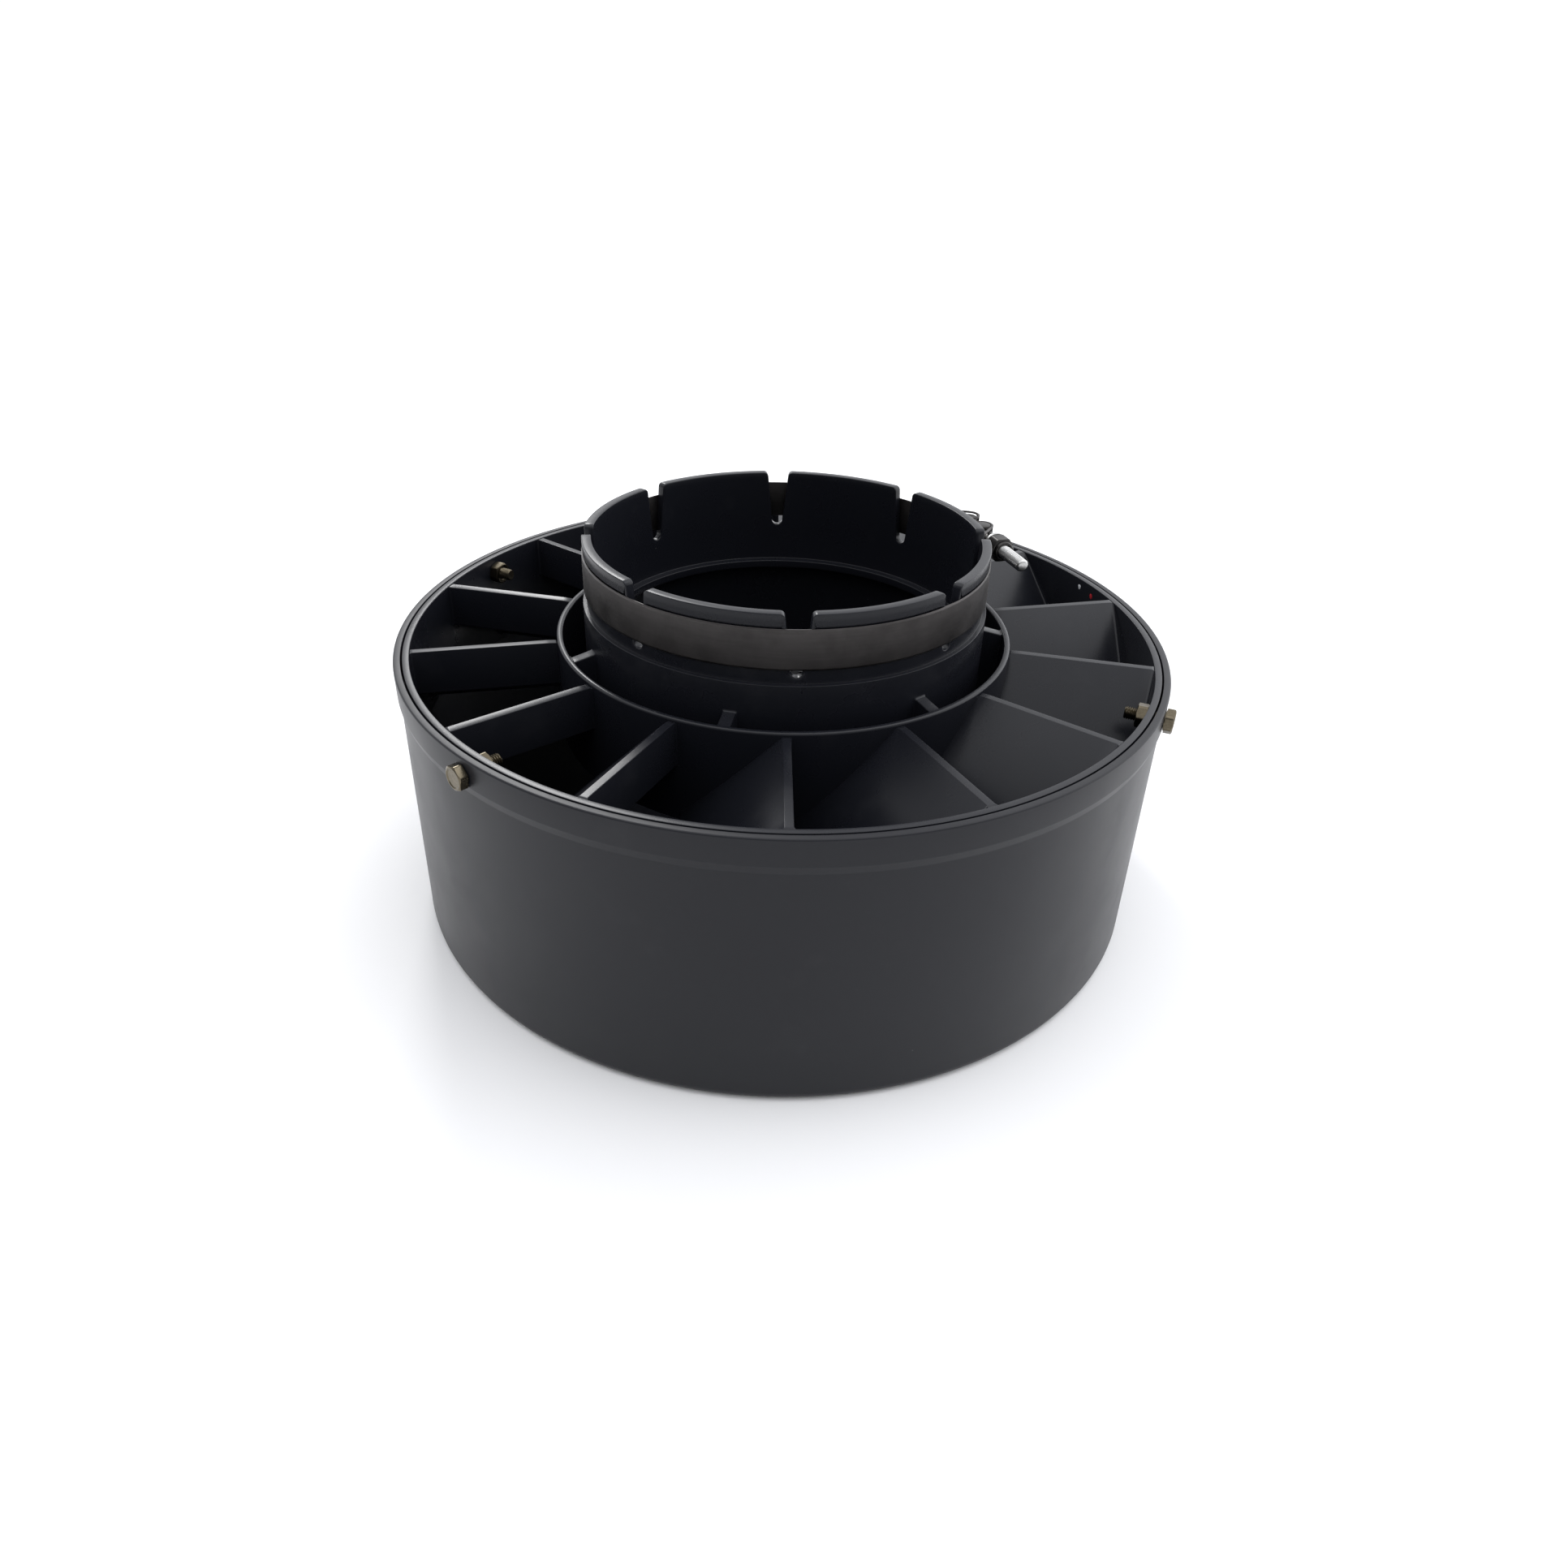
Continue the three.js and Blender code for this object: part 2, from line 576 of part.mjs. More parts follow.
RIM_BOLT_AZIMUTHS.forEach((azimuth, i) => {
  place(numbered('rim_bolt', i), rimBolt(azimuth), 'zinc');
  place(numbered('rim_nut', i), rimNut(azimuth), 'zinc');
});

place('spindle_bolt', spindleBolt(), 'bright');
place('spindle_jam_nut', spindleNut(JAM_NUT_Z, JAM_NUT_HEIGHT), 'bright');
place('rotor_bearing_low', bearing(LOW_BEARING_Z), 'bearing');
place('bearing_spacer', sleeve(8.2, SPACER_Z, SPACER_LENGTH), 'bright');
place('rotor_bearing_high', bearing(HIGH_BEARING_Z), 'bearing');
place('rotor_washer', sleeve(11, ROTOR_WASHER_Z, WASHER_THICK), 'bright');
place('rotor_lock_nut', spindleNut(LOCK_NUT_Z, 10), 'bright');
place('rotor', rotor(), 'rotor');
place('rotor_cap', rotorCap(), 'rotor');

export default group;
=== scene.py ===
"""Looks for a cyclonic engine-air pre-cleaner that stands upside down on its hood.

Lengths are millimetres until a mesh is made. +Z is up, -Y is the front, angles are degrees
about +Z from +X.
"""
import json
import math

import bmesh
import bpy
import numpy as np
from mathutils import Matrix, Vector
from mathutils.geometry import delaunay_2d_cdt

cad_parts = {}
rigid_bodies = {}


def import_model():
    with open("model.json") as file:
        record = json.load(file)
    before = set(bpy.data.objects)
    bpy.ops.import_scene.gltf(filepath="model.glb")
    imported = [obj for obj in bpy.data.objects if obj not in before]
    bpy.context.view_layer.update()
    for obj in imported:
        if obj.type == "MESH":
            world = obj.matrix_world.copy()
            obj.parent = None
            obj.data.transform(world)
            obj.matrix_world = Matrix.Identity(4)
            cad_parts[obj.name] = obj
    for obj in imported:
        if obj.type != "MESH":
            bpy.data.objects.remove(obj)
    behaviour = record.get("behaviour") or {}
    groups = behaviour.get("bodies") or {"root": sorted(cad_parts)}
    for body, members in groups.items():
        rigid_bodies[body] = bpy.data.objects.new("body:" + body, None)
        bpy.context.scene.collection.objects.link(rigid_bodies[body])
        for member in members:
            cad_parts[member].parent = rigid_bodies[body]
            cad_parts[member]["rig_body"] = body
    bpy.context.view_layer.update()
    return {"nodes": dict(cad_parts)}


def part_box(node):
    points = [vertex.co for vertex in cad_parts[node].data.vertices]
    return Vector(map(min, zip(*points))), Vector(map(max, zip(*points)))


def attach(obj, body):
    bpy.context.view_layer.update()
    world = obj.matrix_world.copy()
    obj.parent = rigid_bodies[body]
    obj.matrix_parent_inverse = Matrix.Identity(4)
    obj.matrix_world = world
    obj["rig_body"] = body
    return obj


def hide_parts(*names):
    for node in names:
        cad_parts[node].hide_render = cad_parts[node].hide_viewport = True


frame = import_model()
MM = 0.001


def span(node):
    """Lowest and highest corner of a CAD node, in millimetres."""
    low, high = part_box(node)
    return low / MM, high / MM


# ---- sizes taken from the frame ----
LIP_RADIUS = span("hood_shell")[1].x
LIP_Z = span("hood_shell")[1].z
RING_OUTER = span("base_outer_ring")[1].x
BASE_LOW = span("base_outer_ring")[0].z
HUB_OUTER = span("base_hub_ring")[1].x
HUB_TOP = span("base_hub_ring")[1].z
NECK_FOOT = span("outlet_neck")[1].x
NECK_TOP = span("outlet_neck")[1].z
NECK_LOW = span("outlet_neck")[0].z
BAND_OUTER = span("clamp_band")[1].x
BAND_LOW = span("clamp_band")[0].z
BAND_TOP = span("clamp_band")[1].z
RIM_BOLT_Z = (span("rim_bolt_01")[0].z + span("rim_bolt_01")[1].z) / 2

# ---- driving dimensions of the moulding ----
TURN_STEPS = 256                    # facets round the big round parts
HUB_STEPS = 96                      # and round the small ones
WALL = 3.2
COLLAR_DEPTH = 13.4
CREASE_STEP = 1.1                   # the wall is this much inside the collar below the crease
WALL_FLARE = 0.8                    # and comes out again by this much at the closed end
HOOD_CORNER = 5
RECESS_RADIUS = 24
RECESS_DEPTH = 9
BOSS_BORE = 6.2
BOSS_RADIUS = 12
BOSS_TOP = 30
SOCKET_GAP = 0.4                    # the rim ring's collar is this much smaller than its seat
DISCHARGE_AT = (54, 90)             # azimuths of the discharge slots
DISCHARGE_SPAN = 32
DISCHARGE_LOW = 18
DISCHARGE_HIGH = 64

RING_WALL = 3.4
RING_SKIRT = 1.3                    # the ring is this much thinner below its collar
HUB_WALL = 3
HUB_FLOOR = 3
VANE_COUNT = 14
VANE_PHASE = -88.6
VANE_EDGE = 3.4
VANE_PLATE = 3
VANE_DEPTH = 44
WEB_DEPTH = 21
VANE_FILLET = 0.6
RIM_FILLET = 1.5
VANE_LEAN = 0.05                    # one side of a top edge is this much lower
VANE_TILT = {10: -0.5, 12: -0.5}    # vanes that lean differently
DIP_REACH = 1.4                     # a top edge dips within this distance of the hub ring
DIP_DEPTH = 0.7
DIP_FADE = 6                        # and the dip fades out over this height
RIB_COUNT = 7
RIB_PHASE = -103
RIB_WIDTH = 5.6
RIB_FILLET = 0.8
RIB_RISE = 2.4                      # a rib rises by this much towards the neck

NECK_BEAD = 93.3
NECK_OUTER = 92.55
NECK_INNER = 89
NECK_STEP = 15.4                    # height of the step above the lip
LEDGE_INNER = 84.8
LEDGE_THICK = 4
SLOT_COUNT = 8
SLOT_PHASE = -86.4
SLOT_TOP_WIDTH = 11
SLOT_LOW_WIDTH = 5.6
SLOT_RISE = 18.3                    # bottom of the neck slots above the lip
SLOT_CORNER = 2.2
NECK_EDGE = 0.42                    # rounding of the neck's rim and slots
BAND_THICK = 0.8

RAD = math.pi / 180


# ---- materials ----
class Nodes:
    """A node tree with short calls."""

    def __init__(self, tree, place):
        self.tree = tree
        self.place = self.node("ShaderNodeTexCoord").outputs[place]

    def node(self, kind, **values):
        node = self.tree.nodes.new(kind)
        for key, value in values.items():
            if hasattr(node, key):
                setattr(node, key, value)
            else:
                node.inputs[key.replace("_", " ")].default_value = value
        return node

    def link(self, source, target):
        self.tree.links.new(source, target)

    def scaled(self, source, low, high, to_low, to_high, smooth=False):
        node = self.node("ShaderNodeMapRange")
        if smooth:
            node.interpolation_type = "SMOOTHSTEP"
        for socket, value in zip(("From Min", "From Max", "To Min", "To Max"),
                                 (low, high, to_low, to_high)):
            node.inputs[socket].default_value = value
        self.link(source, node.inputs["Value"])
        return node.outputs["Result"]

    def times(self, a, b):
        node = self.node("ShaderNodeMath", operation="MULTIPLY")
        self.link(a, node.inputs[0])
        if isinstance(b, (int, float)):
            node.inputs[1].default_value = b
        else:
            self.link(b, node.inputs[1])
        return node.outputs["Value"]

    def plus(self, a, b):
        node = self.node("ShaderNodeMath", operation="ADD")
        self.link(a, node.inputs[0])
        self.link(b, node.inputs[1])
        return node.outputs["Value"]

    def mixed(self, factor, a, b):
        """Colour a where factor is 0 and b where it is 1; either may be a socket."""
        node = self.node("ShaderNodeMix", data_type="RGBA")
        self.link(factor, node.inputs["Factor"])
        for socket, value in ((node.inputs[6], a), (node.inputs[7], b)):
            if isinstance(value, tuple):
                socket.default_value = (*value, 1)
            else:
                self.link(value, socket)
        return node.outputs[2]


class Look(Nodes):
    """A material."""

    def __init__(self, name):
        self.material = bpy.data.materials.new(name)
        self.material.use_nodes = True
        super().__init__(self.material.node_tree, "Object")
        self.shader = self.tree.nodes["Principled BSDF"]

    def noise(self, scale, detail=3.0, stretch=None):
        """Noise of that many features per metre; stretch scales the three axes."""
        place = self.place
        if stretch:
            mapping = self.node("ShaderNodeMapping")
            mapping.inputs["Scale"].default_value = stretch
            self.link(place, mapping.inputs["Vector"])
            place = mapping.outputs["Vector"]
        noise = self.node("ShaderNodeTexNoise", Scale=scale, Detail=detail, Roughness=0.6)
        self.link(place, noise.inputs["Vector"])
        return noise.outputs["Fac"]

    def cells(self, scale):
        """Distance to the middle of the nearest cell; scale is cells per metre."""
        cells = self.node("ShaderNodeTexVoronoi", feature="F1", Scale=scale)
        self.link(self.place, cells.inputs["Vector"])
        return cells.outputs["Distance"]

    def bump(self, height, strength, depth):
        """depth is the height of the relief in metres."""
        node = self.node("ShaderNodeBump", Strength=strength, Distance=depth)
        self.link(height, node.inputs["Height"])
        self.link(node.outputs["Normal"], self.shader.inputs["Normal"])

    def set(self, **values):
        for key, value in values.items():
            socket = self.shader.inputs[key.replace("_", " ")]
            if isinstance(value, bpy.types.NodeSocket):
                self.link(value, socket)
            elif isinstance(value, tuple):
                socket.default_value = (*value, 1)
            else:
                socket.default_value = value
        return self.material


def plastic(name, dark, pale, rough, specular):
    """Satin moulded plastic: fine grain, soft cloudy patches, smears and dust specks."""
    look = Look(name)
    cloud = look.noise(9, 3)
    dust = look.scaled(look.cells(130), 0.035, 0.012, 0, 1)
    rare = look.scaled(look.noise(31, 1), 0.6, 0.64, 0, 1)
    smear = look.scaled(look.noise(26, 5), 0.58, 0.78, 0, 1)
    specks = look.times(dust, rare)
    base = look.mixed(cloud, dark, pale)
    colour = look.mixed(look.times(specks, 0.4), base, (0.30, 0.30, 0.29))
    colour = look.mixed(look.times(smear, 0.04), colour, (0.16, 0.16, 0.165))
    spread = look.scaled(look.noise(34, 4), 0.3, 0.7, rough - 0.02, rough + 0.02)
    roughness = look.plus(spread, look.times(look.plus(specks, smear), 0.06))
    grit = look.noise(2600, 2)
    swell = look.times(look.noise(45, 2), 1.2)
    look.bump(look.plus(grit, swell), 0.3, 0.00005)
    return look.set(Base_Color=colour, Roughness=roughness, Specular_IOR_Level=specular)


def steel(name, dark, pale, rough, stretch, stain=None):
    """Worked steel: fine lines along the stretched axis, smudges and a few dull patches."""
    look = Look(name)
    lines = look.noise(900, 3, stretch=stretch)
    smudge = look.scaled(look.noise(48, 4), 0.42, 0.68, 0, 1)
    colour = look.mixed(lines, dark, pale)
    if stain:
        colour = look.mixed(look.times(smudge, 0.8), colour, stain)
    spread = look.scaled(look.noise(70, 4), 0.3, 0.7, rough - 0.06, rough + 0.08)
    roughness = look.plus(spread, look.times(smudge, 0.06))
    look.bump(lines, 0.5, 0.00002)
    return look.set(Base_Color=colour, Roughness=roughness, Metallic=1.0)


def make_materials():
    even = (1, 1, 1)
    return {
        "hood_plastic": plastic("hood_plastic", (0.0078, 0.0083, 0.0112),
                                (0.0106, 0.0111, 0.0146), 0.38, 0.26),
        "base_plastic": plastic("base_plastic", (0.0080, 0.0087, 0.0122),
                                (0.0108, 0.0116, 0.0156), 0.28, 0.28),
        "rotor_plastic": plastic("rotor_plastic", (0.010, 0.0102, 0.011),
                                 (0.017, 0.0172, 0.018), 0.46, 0.35),
        "clamp_steel": steel("clamp_steel", (0.070, 0.0655, 0.0645), (0.100, 0.094, 0.092), 0.40,
                             (0.05, 0.05, 1), stain=(0.058, 0.054, 0.053)),
        "clamp_hardware": steel("clamp_hardware", (0.42, 0.42, 0.41), (0.58, 0.58, 0.57),
                                0.28, even),
        "dark_nut": steel("dark_nut", (0.030, 0.029, 0.028), (0.075, 0.072, 0.070), 0.34, even),
        "zinc_hardware": steel("zinc_hardware", (0.085, 0.072, 0.049), (0.18, 0.155, 0.11), 0.26,
                               even, stain=(0.065, 0.052, 0.034)),
        "spindle_steel": steel("spindle_steel", (0.42, 0.42, 0.43), (0.58, 0.58, 0.59), 0.32,
                               even, stain=(0.30, 0.28, 0.25)),
        "bearing_steel": steel("bearing_steel", (0.55, 0.56, 0.58), (0.70, 0.71, 0.73), 0.2,
                               even),
        "bearing_seal": plastic("bearing_seal", (0.012, 0.011, 0.011), (0.02, 0.018, 0.017),
                                0.5, 0.4),
        "white_dot": plastic("white_dot", (0.62, 0.64, 0.66), (0.72, 0.74, 0.76), 0.5, 0.4),
        "red_dot": plastic("red_dot", (0.42, 0.012, 0.02), (0.52, 0.02, 0.03), 0.5, 0.4),
    }


MATERIALS = make_materials()


# ---- mesh tools ----
def made(name, points, faces, material, sharp=38):
    """Object from millimetre points. Edges sharper than that many degrees stay crisp."""
    mesh = bpy.data.meshes.new(name)
    mesh.from_pydata([tuple(float(c) * MM for c in p) for p in points], [], faces)
    tidy(mesh, sharp)
    mesh.materials.append(MATERIALS[material])
    shown = bpy.data.objects.new(name, mesh)
    bpy.context.scene.collection.objects.link(shown)
    return shown


def tidy(mesh, sharp=38):
    """Merges doubled points, turns the normals outwards and shades the mesh."""
    work = bmesh.new()
    work.from_mesh(mesh)
    bmesh.ops.remove_doubles(work, verts=work.verts, dist=2e-6)
    bmesh.ops.recalc_face_normals(work, faces=work.faces)
    work.to_mesh(mesh)
    work.free()
    mesh.shade_smooth()
    mesh.set_sharp_from_angle(angle=sharp * RAD)


def rounded(corners, steps=4):
    """Closed outline of (x, y, radius) corners, each turned into an arc of that radius."""
    outline = []
    for i, (x, y, radius) in enumerate(corners):
        if radius <= 0:
            outline.append((x, y))
            continue
        corner = Vector((x, y))
        before = (Vector(corners[i - 1][:2]) - corner).normalized()
        after = (Vector(corners[(i + 1) % len(corners)][:2]) - corner).normalized()
        half = math.acos(max(-1, min(1, before.dot(after)))) / 2
        reach = radius / math.tan(half)
        centre = corner + (before + after).normalized() * radius / math.sin(half)
        start = corner + before * reach - centre
        end = corner + after * reach - centre
        first = math.atan2(start.y, start.x)
        turn = (math.atan2(end.y, end.x) - first + math.pi) % (2 * math.pi) - math.pi
        for k in range(steps + 1):
            angle = first + turn * k / steps
            outline.append((centre.x + radius * math.cos(angle),
                            centre.y + radius * math.sin(angle)))
    return outline


def grid_faces(rows, columns, closed_rows, closed_columns):
    """Quads between rows of points; a closed direction joins its end to its start."""
    faces = []
    for i in range(rows if closed_rows else rows - 1):
        for k in range(columns if closed_columns else columns - 1):
            i2, k2 = (i + 1) % rows, (k + 1) % columns
            faces.append((i * columns + k, i * columns + k2, i2 * columns + k2,
                          i2 * columns + k))
    return faces


def tube_faces(rows, columns):
    """Faces of a stack of closed rows, with its first and last row filled."""
    last = (rows - 1) * columns
    return grid_faces(rows, columns, False, True) + [
        tuple(range(columns)), tuple(range(last + columns - 1, last - 1, -1))]


def polar(rows, steps, closed=True, phase=0.0):
    """Points and faces of a body of revolution. A row is (radius, z), and radius may be an
    array with one value for each step. An open body has its end rows filled."""
    angles = (np.arange(steps) / steps * 360 + phase) * RAD
    points = []
    for radius, z in rows:
        r = np.broadcast_to(np.asarray(radius, float), steps)
        points += zip(r * np.cos(angles), r * np.sin(angles), np.full(steps, z))
    if closed:
        return points, grid_faces(len(rows), steps, True, True)
    return points, tube_faces(len(rows), steps)


def lathe(name, outline, material, steps=TURN_STEPS, sharp=38):
    """Closed (radius, height) outline turned about +Z."""
    return made(name, *polar(outline, steps), material, sharp)


def moved(points, matrix):
    """The points under that matrix."""
    return [matrix @ Vector(p) for p in points]


def joined(*parts):
    """One list of points and faces from several."""
    points, faces = [], []
    for some_points, some_faces in parts:
        faces += [tuple(i + len(points) for i in face) for face in some_faces]
        points += list(some_points)
    return points, faces


def inset(outline, distance):
    """Counterclockwise closed outline moved inwards."""
    p = np.array(outline, float)
    edge = np.roll(p, -1, 0) - p
    edge /= np.linalg.norm(edge, axis=1)[:, None]
    normal = np.stack([-edge[:, 1], edge[:, 0]], 1)
    both = normal + np.roll(normal, 1, 0)
    both /= np.maximum((both ** 2).sum(1) / 2, 0.25)[:, None]
    return p + both * distance


def slab(outline, low, high, edge):
    """Flat plate with rounded edges: points (x, y, z) and faces."""
    steps = 3
    rows = []
    for side in (1, -1):
        for k in range(steps + 1):
            angle = (k if side > 0 else steps - k) / steps * math.pi / 2
            face = high if side > 0 else low
            z = face - side * edge * (1 - math.cos(angle))
            rows.append([(x, y, z) for x, y in inset(outline, edge * (1 - math.sin(angle)))])
    return [p for row in rows for p in row], tube_faces(len(rows), len(outline))


def cut(target, cutter_points, cutter_faces, operation="DIFFERENCE", sharp=38, material=None):
    """Takes a closed body out of target, or adds it with UNION. Its faces get that material,
    or the target's own."""
    cutter = made("cutter", cutter_points, cutter_faces, "base_plastic")
    cutter.data.materials.clear()
    cutter.data.materials.append(MATERIALS[material] if material
                                 else target.data.materials[0])
    modifier = target.modifiers.new("cut", "BOOLEAN")
    modifier.object = cutter
    modifier.operation = operation
    modifier.solver = "EXACT"
    modifier.material_mode = "TRANSFER"
    graph = bpy.context.evaluated_depsgraph_get()
    result = bpy.data.meshes.new_from_object(target.evaluated_get(graph))
    target.modifiers.clear()
    old = target.data
    target.data = result
    bpy.data.meshes.remove(old)
    bpy.data.objects.remove(cutter)
    tidy(target.data, sharp)


def stands_for(piece, *nodes, slot):
    """The piece takes the place of those CAD nodes and rides on their body."""
    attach(piece, frame["nodes"][nodes[0]]["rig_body"])
    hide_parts(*nodes)
    return piece


def numbered(name, count):
    """CAD node names: name_01, name_02 and so on."""
    return [f"{name}_{i + 1:02d}" for i in range(count)]


# ---- hood ----
def hood():
    """Shell with a deeper collar at the lip and a recess round the spindle's boss."""
    body_top = LIP_RADIUS - CREASE_STEP
    body_low = body_top + WALL_FLARE
    step = LIP_Z - COLLAR_DEPTH
    socket = RING_OUTER + SOCKET_GAP
    boss_foot = RECESS_DEPTH + WALL
    outline = rounded([
        (BOSS_BORE, RECESS_DEPTH, 0), (RECESS_RADIUS - 2, RECESS_DEPTH, 1.5),
        (RECESS_RADIUS, 0, 1.5),
        (body_low, 0, HOOD_CORNER), (body_top, step - 2.4, 2.5), (LIP_RADIUS, step + 1.4, 2.5),
        (LIP_RADIUS, LIP_Z, 0.8), (socket, LIP_Z, 0.25), (socket, step, 0),
        (body_top - WALL, step, 0.4), (body_low - WALL, WALL, 4),
        (RECESS_RADIUS + WALL, WALL, 2), (RECESS_RADIUS + WALL - 2, boss_foot, 2),
        (BOSS_RADIUS + 1, boss_foot, 1.5), (BOSS_RADIUS, BOSS_TOP, 1),
        (BOSS_BORE, BOSS_TOP, 0.4),
    ], 6)
    shell = lathe("hood", outline, "hood_plastic", sharp=50)
    for azimuth in DISCHARGE_AT:
        cut(shell, *discharge_cutter(azimuth))
    for azimuth in RIM_AZIMUTHS:
        cut(shell, *rim_hole(azimuth))
    return stands_for(shell, "hood_shell", slot="hood_plastic")


def discharge_cutter(azimuth):
    """Wedge with rounded corners, wider outwards."""
    half = DISCHARGE_SPAN / 2 * RAD * LIP_RADIUS
    corners = rounded([(-half, DISCHARGE_LOW, 4), (half, DISCHARGE_LOW, 4),
                       (half, DISCHARGE_HIGH, 4), (-half, DISCHARGE_HIGH, 4)], 5)
    outline = []
    for (x, z), (x2, z2) in zip(corners, corners[1:] + corners[:1]):
        count = max(1, math.ceil(abs(x2 - x) / 5))
        outline += [(x + (x2 - x) * k / count, z + (z2 - z) * k / count)
                    for k in range(count)]
    points = []
    for radius in (LIP_RADIUS - 15, LIP_RADIUS + 10):
        for x, z in outline:
            angle = azimuth * RAD + x / LIP_RADIUS
            points.append((radius * math.cos(angle), radius * math.sin(angle), z))
    return points, tube_faces(2, len(outline))


def along_radius(azimuth, z):
    """Turns a body built along +Z so that it points outwards."""
    return (Matrix.Translation((0, 0, z)) @ Matrix.Rotation(azimuth * RAD, 4, "Z")
            @ Matrix.Rotation(math.pi / 2, 4, "Y"))


def rim_hole(azimuth):
    """Rod that drills the hole for a rim bolt through the ring and the hood."""
    bore = RIM_BOLT_RADIUS + 0.35
    points, faces = polar([(bore, DRILL_FROM), (bore, DRILL_TO)], 24, closed=False)
    return moved(points, along_radius(azimuth, RIM_BOLT_Z)), faces


# ---- vane base ----
def outer_ring():
    """Rim ring of the vane base, with a collar that fills the hood's seat."""
    inner = RING_OUTER - RING_WALL
    skirt = RING_OUTER - RING_SKIRT
    collar = RING_OUTER - 0.4
    step = LIP_Z - COLLAR_DEPTH + 0.3
    ring = lathe("vane_base_rim", rounded([
        (inner, BASE_LOW, 0.6), (skirt, BASE_LOW, 0.6), (skirt, step, 0.3),
        (collar, step, 0.4), (collar, LIP_Z, 0.25), (inner, LIP_Z, 0.35),
    ], 4), "base_plastic")
    for azimuth in RIM_AZIMUTHS:
        cut(ring, *rim_hole(azimuth))
    return stands_for(ring, "base_outer_ring", slot="base_plastic")


def hub_ring():
    """Channel round the neck's foot: the ring that carries the vanes, and its floor."""
    inner = HUB_OUTER - HUB_WALL
    ring = lathe("vane_base_hub", rounded([
        (NECK_FOOT + 0.15, BASE_LOW, 0.3), (HUB_OUTER, BASE_LOW, 0.6),
        (HUB_OUTER, HUB_TOP, 1.2), (inner, HUB_TOP, 1.2),
        (inner, BASE_LOW + HUB_FLOOR, 1.5), (NECK_FOOT + 0.15, BASE_LOW + HUB_FLOOR, 0.2),
    ], 5), "base_plastic", sharp=50)
    return stands_for(ring, "base_hub_ring", slot="base_plastic")


def vane_outline(lean):
    """Section of a vane: arc length anticlockwise from its middle, and height below the lip."""
    half = VANE_EDGE / 2
    across = VANE_PLATE * math.sqrt(2)
    meet = half - VANE_PLATE + half - across
    return rounded([
        (half, min(0, lean), 0.3), (-half, min(0, -lean), 0.3),
        (-VANE_DEPTH - half, -VANE_DEPTH, 0.4),
        (-VANE_DEPTH - half + across, -VANE_DEPTH, 0.9),
        (half - VANE_PLATE, meet, 0.8), (half - VANE_PLATE, -WEB_DEPTH, 0.5),
        (half, -WEB_DEPTH, 0.5),
    ], 4)


def flare(radius, low, high, fillet, outer_fillet=None):
    """How far a surface swells where it runs into a wall at low or high."""
    if outer_fillet and high - radius < radius - low:
        fillet = outer_fillet
    gap = min(radius - low, high - radius)
    if gap >= fillet:
        return 0.0
    gap = max(gap, 0.0)
    return fillet - math.sqrt(fillet ** 2 - (fillet - gap) ** 2)


def stations(low, high, fillet, between, bury=1.4, outer_fillet=None):
    """Radii of a loft between two walls: buried ends, close steps in the fillets."""
    near = [1 - math.sin(k / 5 * math.pi / 2) for k in range(5, -1, -1)]
    start = [low - bury] + [low + gap * fillet for gap in near]
    end = [high - gap * (outer_fillet or fillet) for gap in reversed(near)] + [high + bury]
    middle = [start[-1] + (end[0] - start[-1]) * k / between for k in range(1, between)]
    return start + middle + end


def spoke(name, node, azimuth, radii, section):
    """Body along a radius. section(radius) gives its outline there as (arc length, z)."""
    points = []
    for radius in radii:
        outline = section(radius)
        for arc, z in outline:
            angle = azimuth * RAD + arc / radius
            points.append((radius * math.cos(angle), radius * math.sin(angle), z))
    body = made(name, points, tube_faces(len(radii), len(outline)), "base_plastic")
    return stands_for(body, node, slot="base_plastic")


def vane(node, azimuth):
    """Sloping plate with a straight top edge, which dips where it meets the hub ring."""
    low, high = HUB_OUTER, RING_OUTER - RING_WALL
    outline = vane_outline(VANE_TILT.get(int(node[-2:]) - 1, VANE_LEAN))

    def section(radius):
        swell = flare(radius, low, high, VANE_FILLET, RIM_FILLET)
        near = max(0.0, 1 - max(radius - low, 0) / DIP_REACH)
        dip = DIP_DEPTH * near * near
        row = []
        for arc, z in inset(outline, -swell):
            height = LIP_Z + min(z, -0.05 - 0.4 * swell)
            height -= dip * max(0.0, 1 + z / DIP_FADE) if z > -DIP_FADE else 0
            row.append((arc, height))
        return row

    radii = stations(low, high, VANE_FILLET, 14, outer_fillet=RIM_FILLET)
    return spoke(f"vane_{node[-2:]}", node, azimuth, radii, section)


def rib(node, azimuth):
    """Upright web between the hub ring and the neck."""
    low, high = NECK_FOOT, HUB_OUTER - HUB_WALL
    half = RIB_WIDTH / 2
    top, foot = LIP_Z - 0.5, BASE_LOW + HUB_FLOOR - 0.4
    outline = rounded([(half, foot, 0), (half, top, 0.5), (-half, top, 0.5),
                       (-half, foot, 0)], 4)

    def section(radius):
        swell = flare(radius, low, high, RIB_FILLET)
        rise = max(0, RIB_RISE * (high - radius) / (high - low))
        return [(arc, z + rise if z > foot + 2 else z) for arc, z in inset(outline, -swell)]

    radii = stations(low, high, RIB_FILLET, 4, bury=0.7)
    return spoke(f"rib_{node[-2:]}", node, azimuth, radii, section)


# ---- outlet neck ----
NECK_MIDDLE = (NECK_BEAD + NECK_INNER) / 2
SECTOR_STEPS = TURN_STEPS // SLOT_COUNT
SECTOR_HALF = math.pi / SLOT_COUNT * NECK_MIDDLE
SECTOR_LOW = LIP_Z + SLOT_RISE - 1.5
BEAD_LOW = BAND_TOP + 0.4
BEAD_HIGH = BAND_TOP + 0.9


